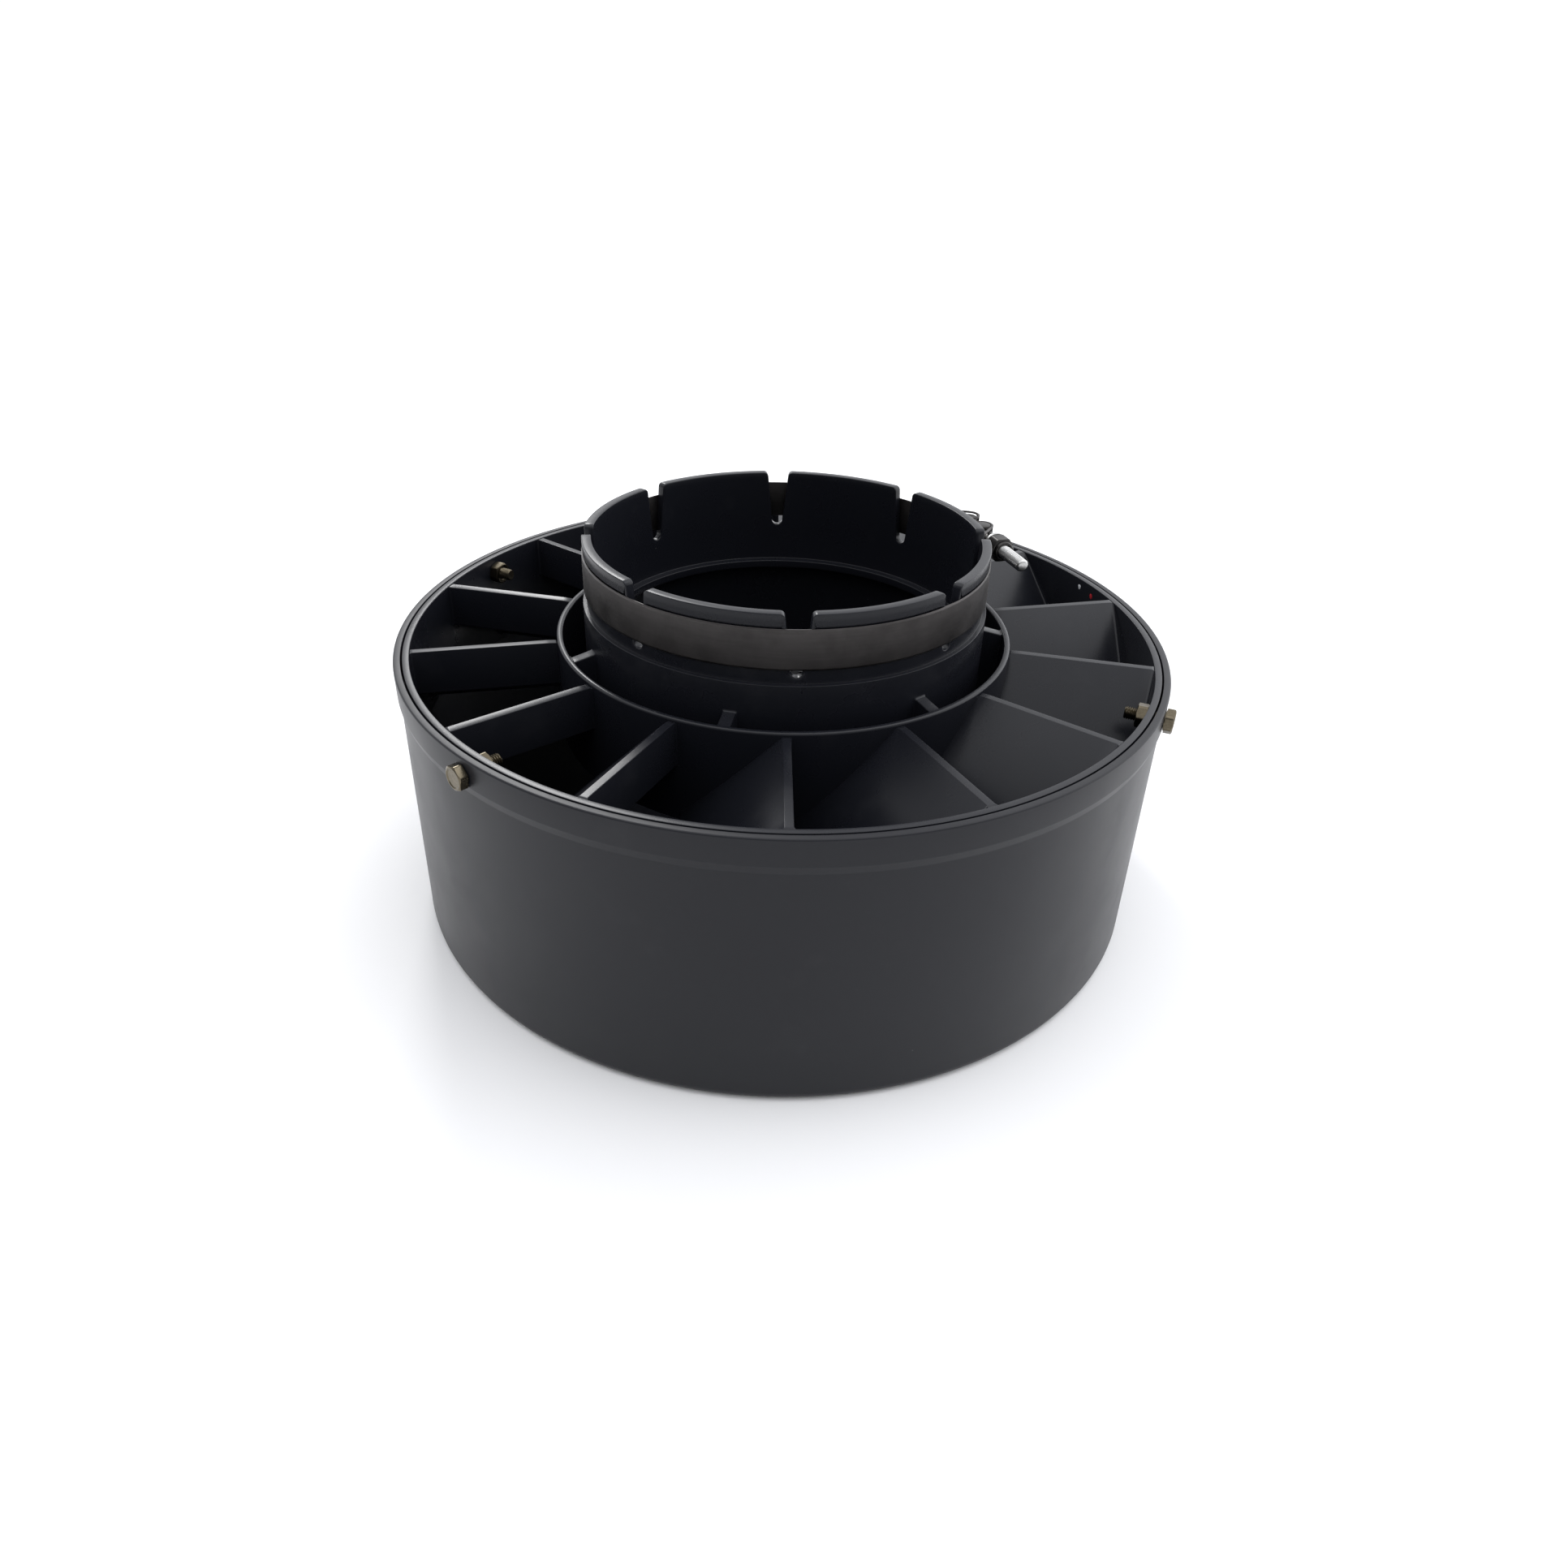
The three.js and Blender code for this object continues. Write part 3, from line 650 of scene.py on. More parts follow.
def neck_outside(z):
    """Outer radius at a height: a bead stands out above the clamp band."""
    share = min(1, max(0, (z - BEAD_LOW) / (BEAD_HIGH - BEAD_LOW)))
    return NECK_OUTER + (NECK_BEAD - NECK_OUTER) * share


def slot_edge():
    """Edge of the neck round one slot, from one sector's end to the other: (arc, z)."""
    low, high = SLOT_LOW_WIDTH / 2, SLOT_TOP_WIDTH / 2
    centre = LIP_Z + SLOT_RISE + low
    edge = rounded([(SECTOR_HALF + 9, NECK_TOP, 0), (high, NECK_TOP, SLOT_CORNER),
                    (low, centre, 0.01)], 6)[1:-5]
    right = [(SECTOR_HALF - (SECTOR_HALF - edge[0][0]) * k / 12, NECK_TOP) for k in range(12)]
    right += edge
    last = right[-1]
    taper = [BEAD_HIGH, BEAD_LOW] + [BAND_TOP - 2.5 * k for k in range(1, 8)]
    for z in taper:
        if centre < z < last[1]:
            right.append((low + (last[0] - low) * (z - centre) / (last[1] - centre), z))
    bottom = [(low * math.cos(k / 8 * math.pi / 2), centre - low * math.sin(k / 8 * math.pi / 2))
              for k in range(9)]
    right += bottom
    return right + [(-u, z) for u, z in reversed(right[:-1])]


def moved_in(curve, distance):
    """Open curve moved to its left; its two ends stay on their own arc position."""
    p = np.array(curve, float)
    edge = np.diff(p, axis=0)
    edge /= np.linalg.norm(edge, axis=1)[:, None]
    normal = np.stack([-edge[:, 1], edge[:, 0]], 1)
    first = np.vstack([normal[:1], normal])
    second = np.vstack([normal, normal[-1:]])
    both = first + second
    both /= np.maximum((both ** 2).sum(1) / 2, 0.25)[:, None]
    return p + both * distance


def filled(loop, inside):
    """Triangles that fill a closed loop, with extra points inside it."""
    count = len(loop)
    edges = [(i, (i + 1) % count) for i in range(count)]
    result = delaunay_2d_cdt([Vector(p) for p in loop + inside], edges, [], 1, 1e-6)
    return [tuple(p) for p in result[0]], [tuple(f) for f in result[2]]


def neck_sector():
    """One eighth of the slotted neck, with a rounded edge round its slot."""
    edge = slot_edge()
    rows = []
    steps = 3
    for k in range(steps + 1):
        angle = k / steps * math.pi / 2
        line = moved_in(edge, NECK_EDGE * (1 - math.sin(angle)))
        rows.append((line, NECK_EDGE * (1 - math.cos(angle))))
    bottom = [(-SECTOR_HALF + 2 * SECTOR_HALF * k / SECTOR_STEPS, SECTOR_LOW)
              for k in range(SECTOR_STEPS + 1)]
    heights = [SECTOR_LOW + 3 * k for k in range(1, 8)] + [BEAD_LOW, BEAD_HIGH, BEAD_HIGH + 2.2]
    heights = [z for z in heights if z < NECK_TOP - NECK_EDGE - 0.8]
    inner_edge = [tuple(p) for p in rows[0][0]]
    loop = bottom + [(SECTOR_HALF, z) for z in heights] + inner_edge
    loop += [(-SECTOR_HALF, z) for z in reversed(heights)]
    edge_points = np.array(inner_edge)
    inside = []
    for z in heights:
        for k in range(1, SECTOR_STEPS):
            u = -SECTOR_HALF + 2 * SECTOR_HALF * k / SECTOR_STEPS
            near = np.hypot(edge_points[:, 0] - u, edge_points[:, 1] - z).min()
            half = SLOT_LOW_WIDTH / 2 + (SLOT_TOP_WIDTH - SLOT_LOW_WIDTH) / 2 * (
                (z - LIP_Z - SLOT_RISE) / (NECK_TOP - LIP_Z - SLOT_RISE))
            in_slot = z > LIP_Z + SLOT_RISE - 1 and abs(u) < half + NECK_EDGE + 0.4
            if near > 0.7 and not in_slot:
                inside.append((u, z))
    flat, triangles = filled(loop, inside)

    def wrapped(u, z, radius):
        angle = u / NECK_MIDDLE
        return (radius * math.sin(angle), -radius * math.cos(angle), z)

    parts = []
    parts.append(([wrapped(u, z, neck_outside(z)) for u, z in flat], triangles))
    parts.append(([wrapped(u, z, NECK_INNER) for u, z in flat],
                  [tuple(reversed(t)) for t in triangles]))
    strip = [[wrapped(u, z, neck_outside(z) - drop) for u, z in line] for line, drop in rows]
    strip += [[wrapped(u, z, NECK_INNER + drop) for u, z in line]
              for line, drop in reversed(rows)]
    parts.append(([p for row in strip for p in row],
                  grid_faces(len(strip), len(edge), False, False)))
    return joined(*parts)


def neck():
    """Slotted neck with the ledge inside it and the wider foot below its step."""
    sector_points, sector_faces = neck_sector()
    parts = []
    for k in range(SLOT_COUNT):
        turn = Matrix.Rotation((SLOT_PHASE + 90 + 360 / SLOT_COUNT * k) * RAD, 4, "Z")
        parts.append((moved(sector_points, turn), sector_faces))
    step = LIP_Z + NECK_STEP
    ledge = LIP_Z - 0.5
    foot_inner = NECK_FOOT - WALL
    below = rounded([
        (NECK_INNER, SECTOR_LOW, 0), (NECK_INNER, ledge, 0.3), (LEDGE_INNER, ledge, 0.35),
        (LEDGE_INNER, ledge - LEDGE_THICK, 0.6), (foot_inner, ledge - LEDGE_THICK, 0.6),
        (foot_inner, NECK_LOW, 1), (NECK_FOOT, NECK_LOW, 1), (NECK_FOOT, step, 0.2),
        (NECK_OUTER, step + 0.1, 0.1), (NECK_OUTER, SECTOR_LOW, 0),
    ], 5)
    points, faces = polar(below, TURN_STEPS, True, SLOT_PHASE - 180 / SLOT_COUNT)
    ring_faces = (len(below) - 1) * TURN_STEPS
    parts.append((points, faces[:ring_faces]))
    body = made("outlet_neck_fine", *joined(*parts), "base_plastic", sharp=45)
    return stands_for(body, "outlet_neck", slot="base_plastic")


# ---- fasteners ----
HEX_STEPS = 96
CHAMFER_SLOPE = 0.58                # tangent of 30 degrees
CORNER_TRIM = 0.25
ROWS_PER_PITCH = 8


def hexed(flats):
    """Radius of a hexagon at each step, with its corners just broken."""
    angles = np.arange(HEX_STEPS) / HEX_STEPS * 2 * math.pi
    inside = (angles + math.pi / 6) % (math.pi / 3) - math.pi / 6
    radius = flats / 2 / np.cos(inside)
    return np.minimum(radius, flats / math.sqrt(3) - CORNER_TRIM)


def hex_rows(flats, low, high, chamfer_low=True, chamfer_high=True):
    """Outside of a nut or head from low to high, with 30 degree chamfers."""
    shape = hexed(flats)
    start = flats / 2 - 0.35
    drop = (shape.max() - start) * CHAMFER_SLOPE
    rows = []
    levels = [k / 8 * drop for k in range(9)]
    for level in levels:
        limit = start + level / CHAMFER_SLOPE if chamfer_low else shape.max()
        rows.append((np.minimum(shape, limit), low + (level if chamfer_low else level * 0.05)))
    for level in reversed(levels):
        limit = start + level / CHAMFER_SLOPE if chamfer_high else shape.max()
        rows.append((np.minimum(shape, limit),
                     high - (level if chamfer_high else level * 0.05)))
    return rows


def thread_rows(radius, pitch, low, high, steps, tip=True, foot=False):
    """Helical thread between low and high; tip and foot run out to the root."""
    depth = 0.54 * pitch
    angles = np.arange(steps) / steps
    count = int((high - low) / pitch * ROWS_PER_PITCH)
    rows = []
    for k in range(count + 1):
        z = low + (high - low) * k / count
        wave = np.abs(2 * ((z / pitch - angles) % 1) - 1)
        groove = np.clip((wave - 0.12) / 0.76, 0, 1)
        row = radius - depth * groove
        if tip:
            row = np.minimum(row, radius - depth + (high - z) * 0.9)
        if foot:
            row = np.minimum(row, radius - depth + (z - low) * 0.9)
        rows.append((row, z))
    return rows


RIM_BOLT_RADIUS = 2.97
RIM_BOLT_PITCH = 1.0
RIM_BOLT_END = 162.9                # distance of its inner end from the vertical axis
RIM_THREAD_TOP = 171
RIM_BOLT_FLATS = 10
DRILL_FROM = 165                    # the holes run between these distances from the axis
DRILL_TO = 190
RIM_NUT_HEIGHT = 5
RIM_NUTS = numbered("rim_nut", 4)
RIM_BOLTS = numbered("rim_bolt", 4)


def azimuth_of(node):
    """Angle of a node's middle about +Z."""
    low, high = span(node)
    return math.atan2(low.y + high.y, low.x + high.x) / RAD


RIM_AZIMUTHS = [azimuth_of(node) for node in RIM_NUTS]


def rim_bolt(node, azimuth):
    """M6 hex bolt: chamfered head with a shallow dish, washer face, threaded shank."""
    seat = LIP_RADIUS + 0.1
    top = seat + 4.1
    rows = thread_rows(RIM_BOLT_RADIUS, RIM_BOLT_PITCH, RIM_BOLT_END, RIM_THREAD_TOP, HEX_STEPS,
                       tip=False, foot=True)
    rows += [(RIM_BOLT_RADIUS, RIM_THREAD_TOP + 0.4), (RIM_BOLT_RADIUS, seat),
             (4.5, seat), (4.5, seat + 0.3)]
    rows += hex_rows(RIM_BOLT_FLATS, seat + 0.3, top, chamfer_low=False)
    rows += [(4.2, top), (3.7, top - 0.3), (1.5, top - 0.35)]
    points, faces = polar(rows, HEX_STEPS, closed=False)
    turn = Matrix.Rotation((11 + 37 * azimuth) % 60 * RAD, 4, "Z")
    body = made(f"{node}_fine", moved(moved(points, turn), along_radius(azimuth, RIM_BOLT_Z)),
                faces, "zinc_hardware", sharp=28)
    return stands_for(body, node, slot="zinc_hardware")


def bored(rows, bore, low, high):
    """Closes an outside into a nut: chamfered bore through it."""
    edge = 0.55
    return rows + [(bore + edge, high), (bore, high - edge), (bore, low + edge),
                   (bore + edge, low)]


def rim_nut(node, azimuth):
    """M6 hex nut against the inside of the rim ring."""
    seat = RING_OUTER - RING_WALL - 0.05
    low = seat - RIM_NUT_HEIGHT
    rows = bored(hex_rows(RIM_BOLT_FLATS, low, seat), RIM_BOLT_RADIUS + 0.08, low, seat)
    points, faces = polar(rows, HEX_STEPS)
    turn = Matrix.Rotation((29 + 23 * azimuth) % 60 * RAD, 4, "Z")
    body = made(f"{node}_fine", moved(moved(points, turn), along_radius(azimuth, RIM_BOLT_Z)),
                faces, "zinc_hardware", sharp=28)
    return stands_for(body, node, slot="zinc_hardware")


# ---- clamp ----
CLAMP_AZIMUTH = 18.3
BOLT_OFFSET = 108                   # distance of the clamp bolt from the vertical axis
BOLT_RADIUS = 3.1
BOLT_END = 29
BOLT_PITCH = 0.907
HEAD_AT = -31
PIN_AT = -15.5
PIN_RADIUS = 4.1
SLEEVE_END = -1.5
SLEEVE_RADIUS = 3.9
WASHER_RADIUS = 6
WASHER_THICK = 1.5
CLAMP_NUT_FLATS = 11.1
CLAMP_NUT_HEIGHT = 9.5
CLAMP_NUT_COLLAR = 4.75
ROD_STEPS = 48
CLEAR = 0.3
STRAP = 1.0
LOOP_REACH = 22
LOOP_HALF = 5.2
BAND_MID = (BAND_LOW + BAND_TOP) / 2
ON_BOLT = (Matrix.Rotation((CLAMP_AZIMUTH - 90) * RAD, 4, "Z")
           @ Matrix.Translation((0, BOLT_OFFSET, BAND_MID)))
ALONG_BOLT = ON_BOLT @ Matrix.Rotation(math.pi / 2, 4, "Y")


def clamp_band():
    """Thin band with rounded edges."""
    band = lathe("clamp_band_fine", rounded([
        (BAND_OUTER - BAND_THICK, BAND_LOW, 0.2), (BAND_OUTER - 0.25, BAND_LOW, 0.2),
        (BAND_OUTER, BAND_LOW + 0.8, 0.8), (BAND_OUTER, BAND_TOP - 0.8, 0.8),
        (BAND_OUTER - 0.25, BAND_TOP, 0.2), (BAND_OUTER - BAND_THICK, BAND_TOP, 0.2),
    ], 4), "clamp_steel", sharp=60)
    return stands_for(band, "clamp_band", slot="clamp_steel")


def strap_outline(centre, radius, foot):
    """Eye round a cross bar that narrows to a foot on the band."""
    steps = 28
    reach = Vector((foot[0] - centre, foot[1]))
    towards = math.atan2(reach.y, reach.x)
    spread = math.acos(radius / reach.length)
    turn = 2 * math.pi - 2 * spread
    eye = [(centre + radius * math.cos(towards + spread + turn * k / steps),
            radius * math.sin(towards + spread + turn * k / steps)) for k in range(steps + 1)]
    start, end = Vector(eye[0]), Vector(eye[-1])
    tip = Vector(foot)
    leg = [tuple(tip.lerp(start, k / 8)) for k in range(8)]
    back = [tuple(end.lerp(tip, k / 8)) for k in range(1, 8)]
    return leg + eye + back


def strap_loop(node, centre, side):
    """Folded end of the band round a cross bar, with a window for the bolt."""
    outer = PIN_RADIUS + CLEAR + STRAP
    along = centre + side * LOOP_REACH
    foot = (along, math.sqrt((BAND_OUTER + 0.5) ** 2 - along ** 2) - BOLT_OFFSET)
    share = STRAP / outer
    inner_foot = (foot[0] + (centre - foot[0]) * share, foot[1] * (1 - share))
    outside = strap_outline(centre, outer, foot)
    inside = strap_outline(centre, outer - STRAP, inner_foot)
    edge = 0.25
    rows = []
    for share, z in ((edge, LOOP_HALF), (edge / 3, LOOP_HALF - edge / 3), (0, LOOP_HALF - edge),
                     (0, -LOOP_HALF + edge), (edge / 3, -LOOP_HALF + edge / 3),
                     (edge, -LOOP_HALF), (1 - edge, -LOOP_HALF),
                     (1, -LOOP_HALF + edge), (1, LOOP_HALF - edge), (1 - edge, LOOP_HALF)):
        rows.append([(x + (x2 - x) * share, y + (y2 - y) * share, z)
                     for (x, y), (x2, y2) in zip(outside, inside)])
    points = moved([p for row in rows for p in row], ON_BOLT)
    loop = made(f"{node}_fine", points,
                grid_faces(len(rows), len(outside), True, True), "clamp_steel")
    half_x, half_z = outer + 10, BOLT_RADIUS + 1.2
    window = rounded([(half_x, -half_z, 1.2), (half_x, half_z, 1.2),
                      (-half_x, half_z, 1.2), (-half_x, -half_z, 1.2)], 4)
    window_points, window_faces = slab(window, -BOLT_RADIUS - 2, BOLT_RADIUS + 2, 0)
    turn = ON_BOLT @ Matrix.Translation((centre, 0, 0)) @ Matrix.Rotation(math.pi / 2, 4, "X")
    cut(loop, moved(window_points, turn), window_faces)
    return stands_for(loop, node, slot="clamp_steel")


def rod_rows(radius, low, high, edge):
    """Turned rod with rounded ends."""
    rows = []
    for k in range(4):
        angle = k / 3 * math.pi / 2
        rows.append((radius - edge * (1 - math.sin(angle)), low + edge * (1 - math.cos(angle))))
    rows += [(radius, z) for z in np.linspace(low + edge, high - edge, 5)[1:-1]]
    return rows + [(radius, high + low - z) for radius, z in reversed(rows[:4])]


def clamp_bolt():
    """T-bolt: a cross bar, a plain shank and a rolled thread with a turned end."""
    rows = [(BOLT_RADIUS - 0.1, HEAD_AT), (BOLT_RADIUS - 0.1, 0)]
    rows += thread_rows(BOLT_RADIUS, BOLT_PITCH, 0.1, BOLT_END - 0.5, ROD_STEPS, foot=True)
    rows += [(2.45, BOLT_END - 0.2), (2.0, BOLT_END)]
    points, faces = polar(rows, ROD_STEPS, closed=False)
    bolt = made("clamp_bolt", moved(points, ALONG_BOLT), faces, "clamp_hardware", sharp=50)
    points, faces = polar(rod_rows(PIN_RADIUS, -LOOP_HALF + 1, LOOP_HALF - 1, 0.8), ROD_STEPS,
                          closed=False)
    turn = ON_BOLT @ Matrix.Translation((HEAD_AT, 0, 0))
    cut(bolt, moved(points, turn), faces, "UNION", 50, "dark_nut")
    return stands_for(bolt, "clamp_t_bolt", slot="clamp_hardware")


def clamp_pin():
    """Cross pin with a sleeve for the washer, drilled for the bolt."""
    points, faces = polar(rod_rows(PIN_RADIUS, -LOOP_HALF, LOOP_HALF, 0.7), ROD_STEPS,
                          closed=False)
    pin = made("clamp_pin", moved(points, ON_BOLT @ Matrix.Translation((PIN_AT, 0, 0))), faces,
               "dark_nut", sharp=50)
    points, faces = polar(rod_rows(SLEEVE_RADIUS, PIN_AT, SLEEVE_END, 0.3), ROD_STEPS,
                          closed=False)
    cut(pin, moved(points, ALONG_BOLT), faces, "UNION", 50)
    points, faces = polar([(BOLT_RADIUS + CLEAR, PIN_AT - 10), (BOLT_RADIUS + CLEAR, 1)], 32,
                          closed=False)
    cut(pin, moved(points, ALONG_BOLT), faces, sharp=50)
    return stands_for(pin, "clamp_trunnion", slot="clamp_hardware")


def clamp_washer():
    """Flat washer between the sleeve and the nut."""
    low = SLEEVE_END + CLEAR
    high = low + WASHER_THICK
    points, faces = polar(rounded([
        (BOLT_RADIUS + CLEAR, low, 0.2), (WASHER_RADIUS, low, 0.35),
        (WASHER_RADIUS, high, 0.35), (BOLT_RADIUS + CLEAR, high, 0.2)], 3), 72)
    washer = made("clamp_washer_fine", moved(points, ALONG_BOLT), faces, "clamp_hardware")
    return stands_for(washer, "clamp_washer", slot="clamp_hardware")


def clamp_nut():
    """Hex lock nut with a round collar at its free end."""
    low = SLEEVE_END + 2 * CLEAR + WASHER_THICK
    high = low + CLAMP_NUT_HEIGHT
    collar = CLAMP_NUT_COLLAR
    rows = hex_rows(CLAMP_NUT_FLATS, low, high - 2)
    rows += [(collar, high - 1.95), (collar, high - 0.6), (collar - 0.2, high - 0.2),
             (collar - 0.6, high)]
    points, faces = polar(bored(rows, BOLT_RADIUS + 0.1, low, high), HEX_STEPS)
    nut = made("clamp_nut_fine", moved(points, ALONG_BOLT), faces, "dark_nut", sharp=28)
    return stands_for(nut, "clamp_nut", slot="clamp_hardware")


# ---- spindle and rotor ----
SPINDLE_RADIUS = 5.8
SPINDLE_PITCH = 1.75
SPINDLE_FLATS = 18
SPINDLE_HEAD = 7.5
SPINDLE_THREAD = 22
SEAL_INNER = 9
SEAL_OUTER = 13.4
SEAL_DEPTH = 0.6
ROTOR_BORE = 16.6
ROTOR_HUB = 21
ROTOR_HUB_LOW = 38
ROTOR_HUB_HIGH = 79
ARM_COUNT = 4
ARM_HALF = 1.5


def spindle_bolt():
    """Hex bolt with a shallow dish in its head and a thread at its far end."""
    low, high = (corner.z for corner in span("spindle_bolt"))
    head = low + SPINDLE_HEAD
    rows = [(2.0, low + 0.35), (7.2, low + 0.35), (7.8, low)]
    rows += hex_rows(SPINDLE_FLATS, low, head, chamfer_high=False)
    rows += [(SPINDLE_RADIUS, head), (SPINDLE_RADIUS, high - SPINDLE_THREAD)]
    rows += thread_rows(SPINDLE_RADIUS, SPINDLE_PITCH, high - SPINDLE_THREAD + 0.2, high,
                        HEX_STEPS)
    points, faces = polar(rows, HEX_STEPS, closed=False)
    bolt = made("spindle_bolt_fine", points, faces, "spindle_steel", sharp=28)
    return stands_for(bolt, "spindle_bolt", slot="spindle_steel")


def spindle_nut(node, turn):
    """Hex nut, turned by that many degrees."""
    low, high = (corner.z for corner in span(node))
    rows = bored(hex_rows(SPINDLE_FLATS, low, high), SPINDLE_RADIUS + CLEAR, low, high)
    points, faces = polar(rows, HEX_STEPS, True, turn)
    nut = made(f"{node}_fine", points, faces, "spindle_steel", sharp=28)
    return stands_for(nut, node, slot="spindle_steel")


def spindle_ring(node, edge):
    """Washer or spacer with broken edges."""
    low, high = span(node)
    bore = SPINDLE_RADIUS + CLEAR
    ring = lathe(f"{node}_fine", rounded([
        (bore, low.z, edge), (high.x, low.z, edge), (high.x, high.z, edge),
        (bore, high.z, edge)], 3), "spindle_steel", HUB_STEPS)
    return stands_for(ring, node, slot="spindle_steel")


def bearing(node):
    """Sealed ball bearing: races with a groove between them and a rubber seal in each face."""
    low, high = span(node)
    bore, outer = SPINDLE_RADIUS + CLEAR, high.x
    races = lathe(f"{node}_races", rounded([
        (bore, low.z, 0.5), (SEAL_INNER, low.z, 0.15), (SEAL_INNER, low.z + SEAL_DEPTH, 0),
        (SEAL_OUTER, low.z + SEAL_DEPTH, 0), (SEAL_OUTER, low.z, 0.15), (outer, low.z, 0.5),
        (outer, high.z, 0.5), (SEAL_OUTER, high.z, 0.15), (SEAL_OUTER, high.z - SEAL_DEPTH, 0),
        (SEAL_INNER, high.z - SEAL_DEPTH, 0), (SEAL_INNER, high.z, 0.15),
        (bore, high.z, 0.5)], 3), "bearing_steel", HUB_STEPS)
    stands_for(races, node, slot="bearing_steel")
    inner, rim = SEAL_INNER + 0.15, SEAL_OUTER - 0.15
    for end, face, side in (("low", low.z, 1), ("high", high.z, -1)):
        base = face + side * (SEAL_DEPTH - 0.02)
        top = face + side * 0.2
        seal = lathe(f"{node}_seal_{end}", rounded([
            (inner, base, 0), (rim, base, 0), (rim, top, 0.12), (12.4, top, 0.1),
            (12.1, top + side * 0.15, 0.1), (10.2, top + side * 0.15, 0.1), (9.9, top, 0.1),
            (inner, top, 0.12)], 3), "bearing_seal", HUB_STEPS)
        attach(seal, frame["nodes"][node]["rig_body"])


def rotor():
    """Paddle wheel: a tube hub with four flat arms."""
    low, high = span("rotor")
    wheel = lathe("rotor_fine", rounded([
        (ROTOR_BORE, ROTOR_HUB_LOW, 0.6), (ROTOR_HUB, ROTOR_HUB_LOW, 0.8),
        (ROTOR_HUB, ROTOR_HUB_HIGH, 0.8), (ROTOR_BORE, ROTOR_HUB_HIGH, 0.6),
    ], 4), "rotor_plastic", HUB_STEPS)
    root, neck_at, wide_at, tip = ROTOR_HUB - 2, 60, 110, high.x
    top = high.z - 13
    outline = rounded([
        (root, ROTOR_HUB_LOW + 4, 0), (neck_at, 34, 8), (wide_at, low.z, 10), (tip, low.z, 5),
        (tip, top, 5), (wide_at, top, 10), (neck_at, 70, 8), (root, ROTOR_HUB_HIGH - 4, 0)], 5)
    points, faces = slab(outline, -ARM_HALF, ARM_HALF, 0.6)
    upright = Matrix.Rotation(math.pi / 2, 4, "X")
    for k in range(ARM_COUNT):
        turn = Matrix.Rotation(k * math.pi / 2, 4, "Z") @ upright
        cut(wheel, moved(points, turn), faces, "UNION")
    return stands_for(wheel, "rotor", slot="rotor_plastic")


def rotor_cap():
    """Thin domed cap over the bearing at the neck's end."""
    low, high = (corner.z for corner in span("rotor_cap"))
    inner = ROTOR_HUB - 3
    cap = lathe("rotor_cap_fine", rounded([
        (inner, low, 0.5), (ROTOR_HUB, low, 0.5), (ROTOR_HUB, low + 14, 1.5),
        (17, low + 19, 2), (0.01, high, 0), (0.01, high - 2.5, 0), (15, high - 3.5, 1.5),
        (inner, low + 13, 1.5),
    ], 4), "rotor_plastic", HUB_STEPS)
    return stands_for(cap, "rotor_cap", slot="rotor_plastic")


def paint_dot(name, azimuth, z, material, size):
    """Dab of paint on the inside wall of the rim."""
    steps = 24
    angles = np.arange(steps) / steps * 2 * math.pi
    shape = size * (1 + 0.12 * np.cos(2 * angles + 0.6) + 0.06 * np.cos(3 * angles))
    wall = RING_OUTER - RING_WALL
    rows = [(shape, wall + 0.1), (shape, wall - 0.03), (shape * 0.85, wall - 0.1),
            (shape * 0.4, wall - 0.15)]
    points, faces = polar(rows, steps, closed=False)
    dot = made(name, moved(points, along_radius(azimuth, z)), faces, material)
    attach(dot, frame["nodes"]["base_outer_ring"]["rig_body"])


# ---- camera, floor and light ----
def rotation(axis, angle):
    return Matrix.Rotation(angle * RAD, 3, axis)


def camera():
    """Above the front, looking down at the lip's centre."""
    elevation, roll, pitch, yaw = 24.27, -1.92, 7.995, 0.262
    distance = 0.5513
    lens, sensor = 26.07, 36
    up = Vector((0, math.sin(elevation * RAD), math.cos(elevation * RAD)))
    back = Vector((0, -math.cos(elevation * RAD), math.sin(elevation * RAD)))
    level = Matrix((Vector((1, 0, 0)), up, back))
    turned = rotation("Z", roll) @ rotation("X", pitch) @ rotation("Y", yaw) @ level
    data = bpy.data.cameras.new("camera")
    data.lens = lens
    data.sensor_width = sensor
    data.clip_start = 0.01
    shown = bpy.data.objects.new("camera", data)
    place = back * distance + Vector((0, 0, LIP_Z * MM))
    shown.matrix_world = Matrix.Translation(place) @ turned.transposed().to_4x4()
    bpy.context.scene.collection.objects.link(shown)
    bpy.context.scene.camera = shown


def area_light(name, place, target, size, power):
    data = bpy.data.lights.new(name, "AREA")
    data.shape = "RECTANGLE"
    data.size, data.size_y = size
    data.energy = power
    lamp = bpy.data.objects.new(name, data)
    lamp.location = place
    lamp.rotation_euler = (Vector(target) - Vector(place)).to_track_quat("-Z", "Y").to_euler()
    bpy.context.scene.collection.objects.link(lamp)


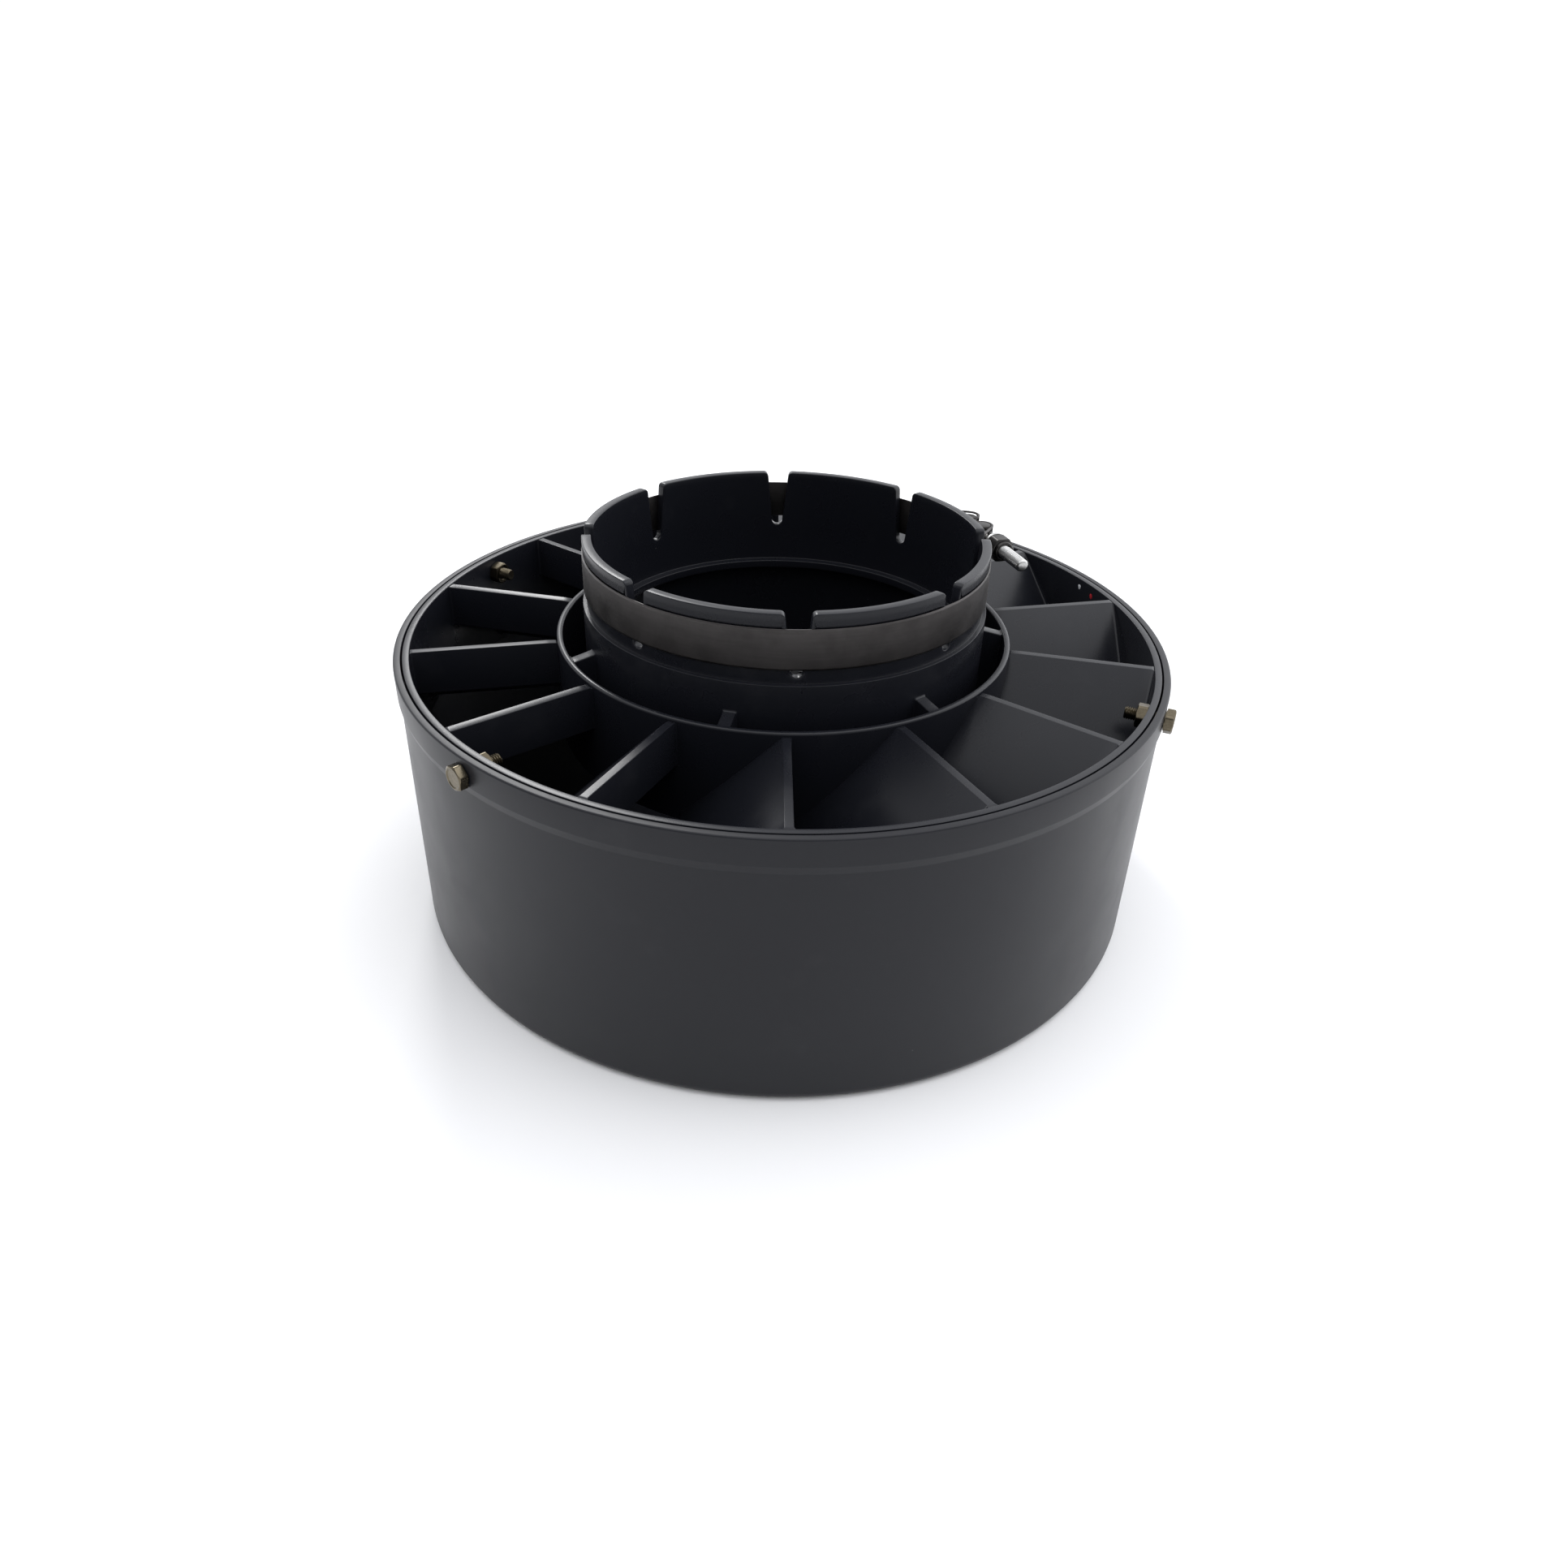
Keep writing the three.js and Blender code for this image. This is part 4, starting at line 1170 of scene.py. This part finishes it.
def sky(world):
    """White room, dim in front of the object, with a broad soft light overhead."""
    nodes = Nodes(world.node_tree, "Generated")
    split = nodes.node("ShaderNodeSeparateXYZ")
    nodes.link(nodes.place, split.inputs["Vector"])
    x, y, z = (split.outputs[axis] for axis in "XYZ")
    around = nodes.scaled(y, -0.45, 0.1, 0.34, 1.09, True)
    around = nodes.times(around, nodes.scaled(x, -0.95, -0.6, 0.8, 1, True))
    around = nodes.times(around, nodes.scaled(x, 0.0, 0.6, 1, 1.9, True))
    above = nodes.scaled(z, 0.55, 0.8, 0, 1, True)
    lit = nodes.times(above, nodes.scaled(y, 0.05, 0.4, 1.1, 0.1, True))
    power = nodes.plus(around, lit)
    background = world.node_tree.nodes["Background"]
    background.inputs["Color"].default_value = (0.96, 0.97, 1, 1)
    nodes.link(power, background.inputs["Strength"])


def studio():
    """Room, floor, lamp and view settings."""
    scene = bpy.context.scene
    world = bpy.data.worlds.new("studio")
    scene.world = world
    world.use_nodes = True
    sky(world)
    half = 60.0
    mesh = bpy.data.meshes.new("floor")
    mesh.from_pydata([(-half, -half, 0), (half, -half, 0), (half, half, 0), (-half, half, 0)],
                     [], [(0, 1, 2, 3)])
    look = Look("floor_paper")
    tone = look.scaled(look.noise(1.5, 2), 0.3, 0.7, 0, 1)
    mesh.materials.append(look.set(Base_Color=look.mixed(tone, (0.91, 0.91, 0.91),
                                                         (0.93, 0.93, 0.93)), Roughness=0.9))
    floor = bpy.data.objects.new("floor", mesh)
    scene.collection.objects.link(floor)
    area_light("strip_back_left", (-0.55, 1.55, 1.35), (0, 0, 0.13), (0.35, 0.6), 12)
    scene.view_settings.view_transform = "Standard"
    scene.view_settings.look = "None"


# ---- build ----
camera()
studio()
hood()
outer_ring()
hub_ring()
for index, node in enumerate(numbered("inlet_vane", VANE_COUNT)):
    vane(node, VANE_PHASE + 360 / VANE_COUNT * index)
for index, node in enumerate(numbered("neck_rib", RIB_COUNT)):
    rib(node, RIB_PHASE + 360 / RIB_COUNT * index)
neck()
for bolt, nut, azimuth in zip(RIM_BOLTS, RIM_NUTS, RIM_AZIMUTHS):
    rim_bolt(bolt, azimuth)
    rim_nut(nut, azimuth)
clamp_band()
strap_loop("clamp_loop_trunnion", PIN_AT, 1)
strap_loop("clamp_loop_head", HEAD_AT, -1)
clamp_bolt()
clamp_pin()
clamp_washer()
clamp_nut()
spindle_bolt()
spindle_nut("spindle_jam_nut", 7)
spindle_nut("rotor_lock_nut", 22)
spindle_ring("bearing_spacer", 0.4)
spindle_ring("rotor_washer", 0.3)
bearing("rotor_bearing_low")
bearing("rotor_bearing_high")
rotor()
rotor_cap()
paint_dot("paint_dot_white", 24.3, LIP_Z - 4.4, "white_dot", 1.2)
paint_dot("paint_dot_red", 20.7, LIP_Z - 5.6, "red_dot", 1.3)
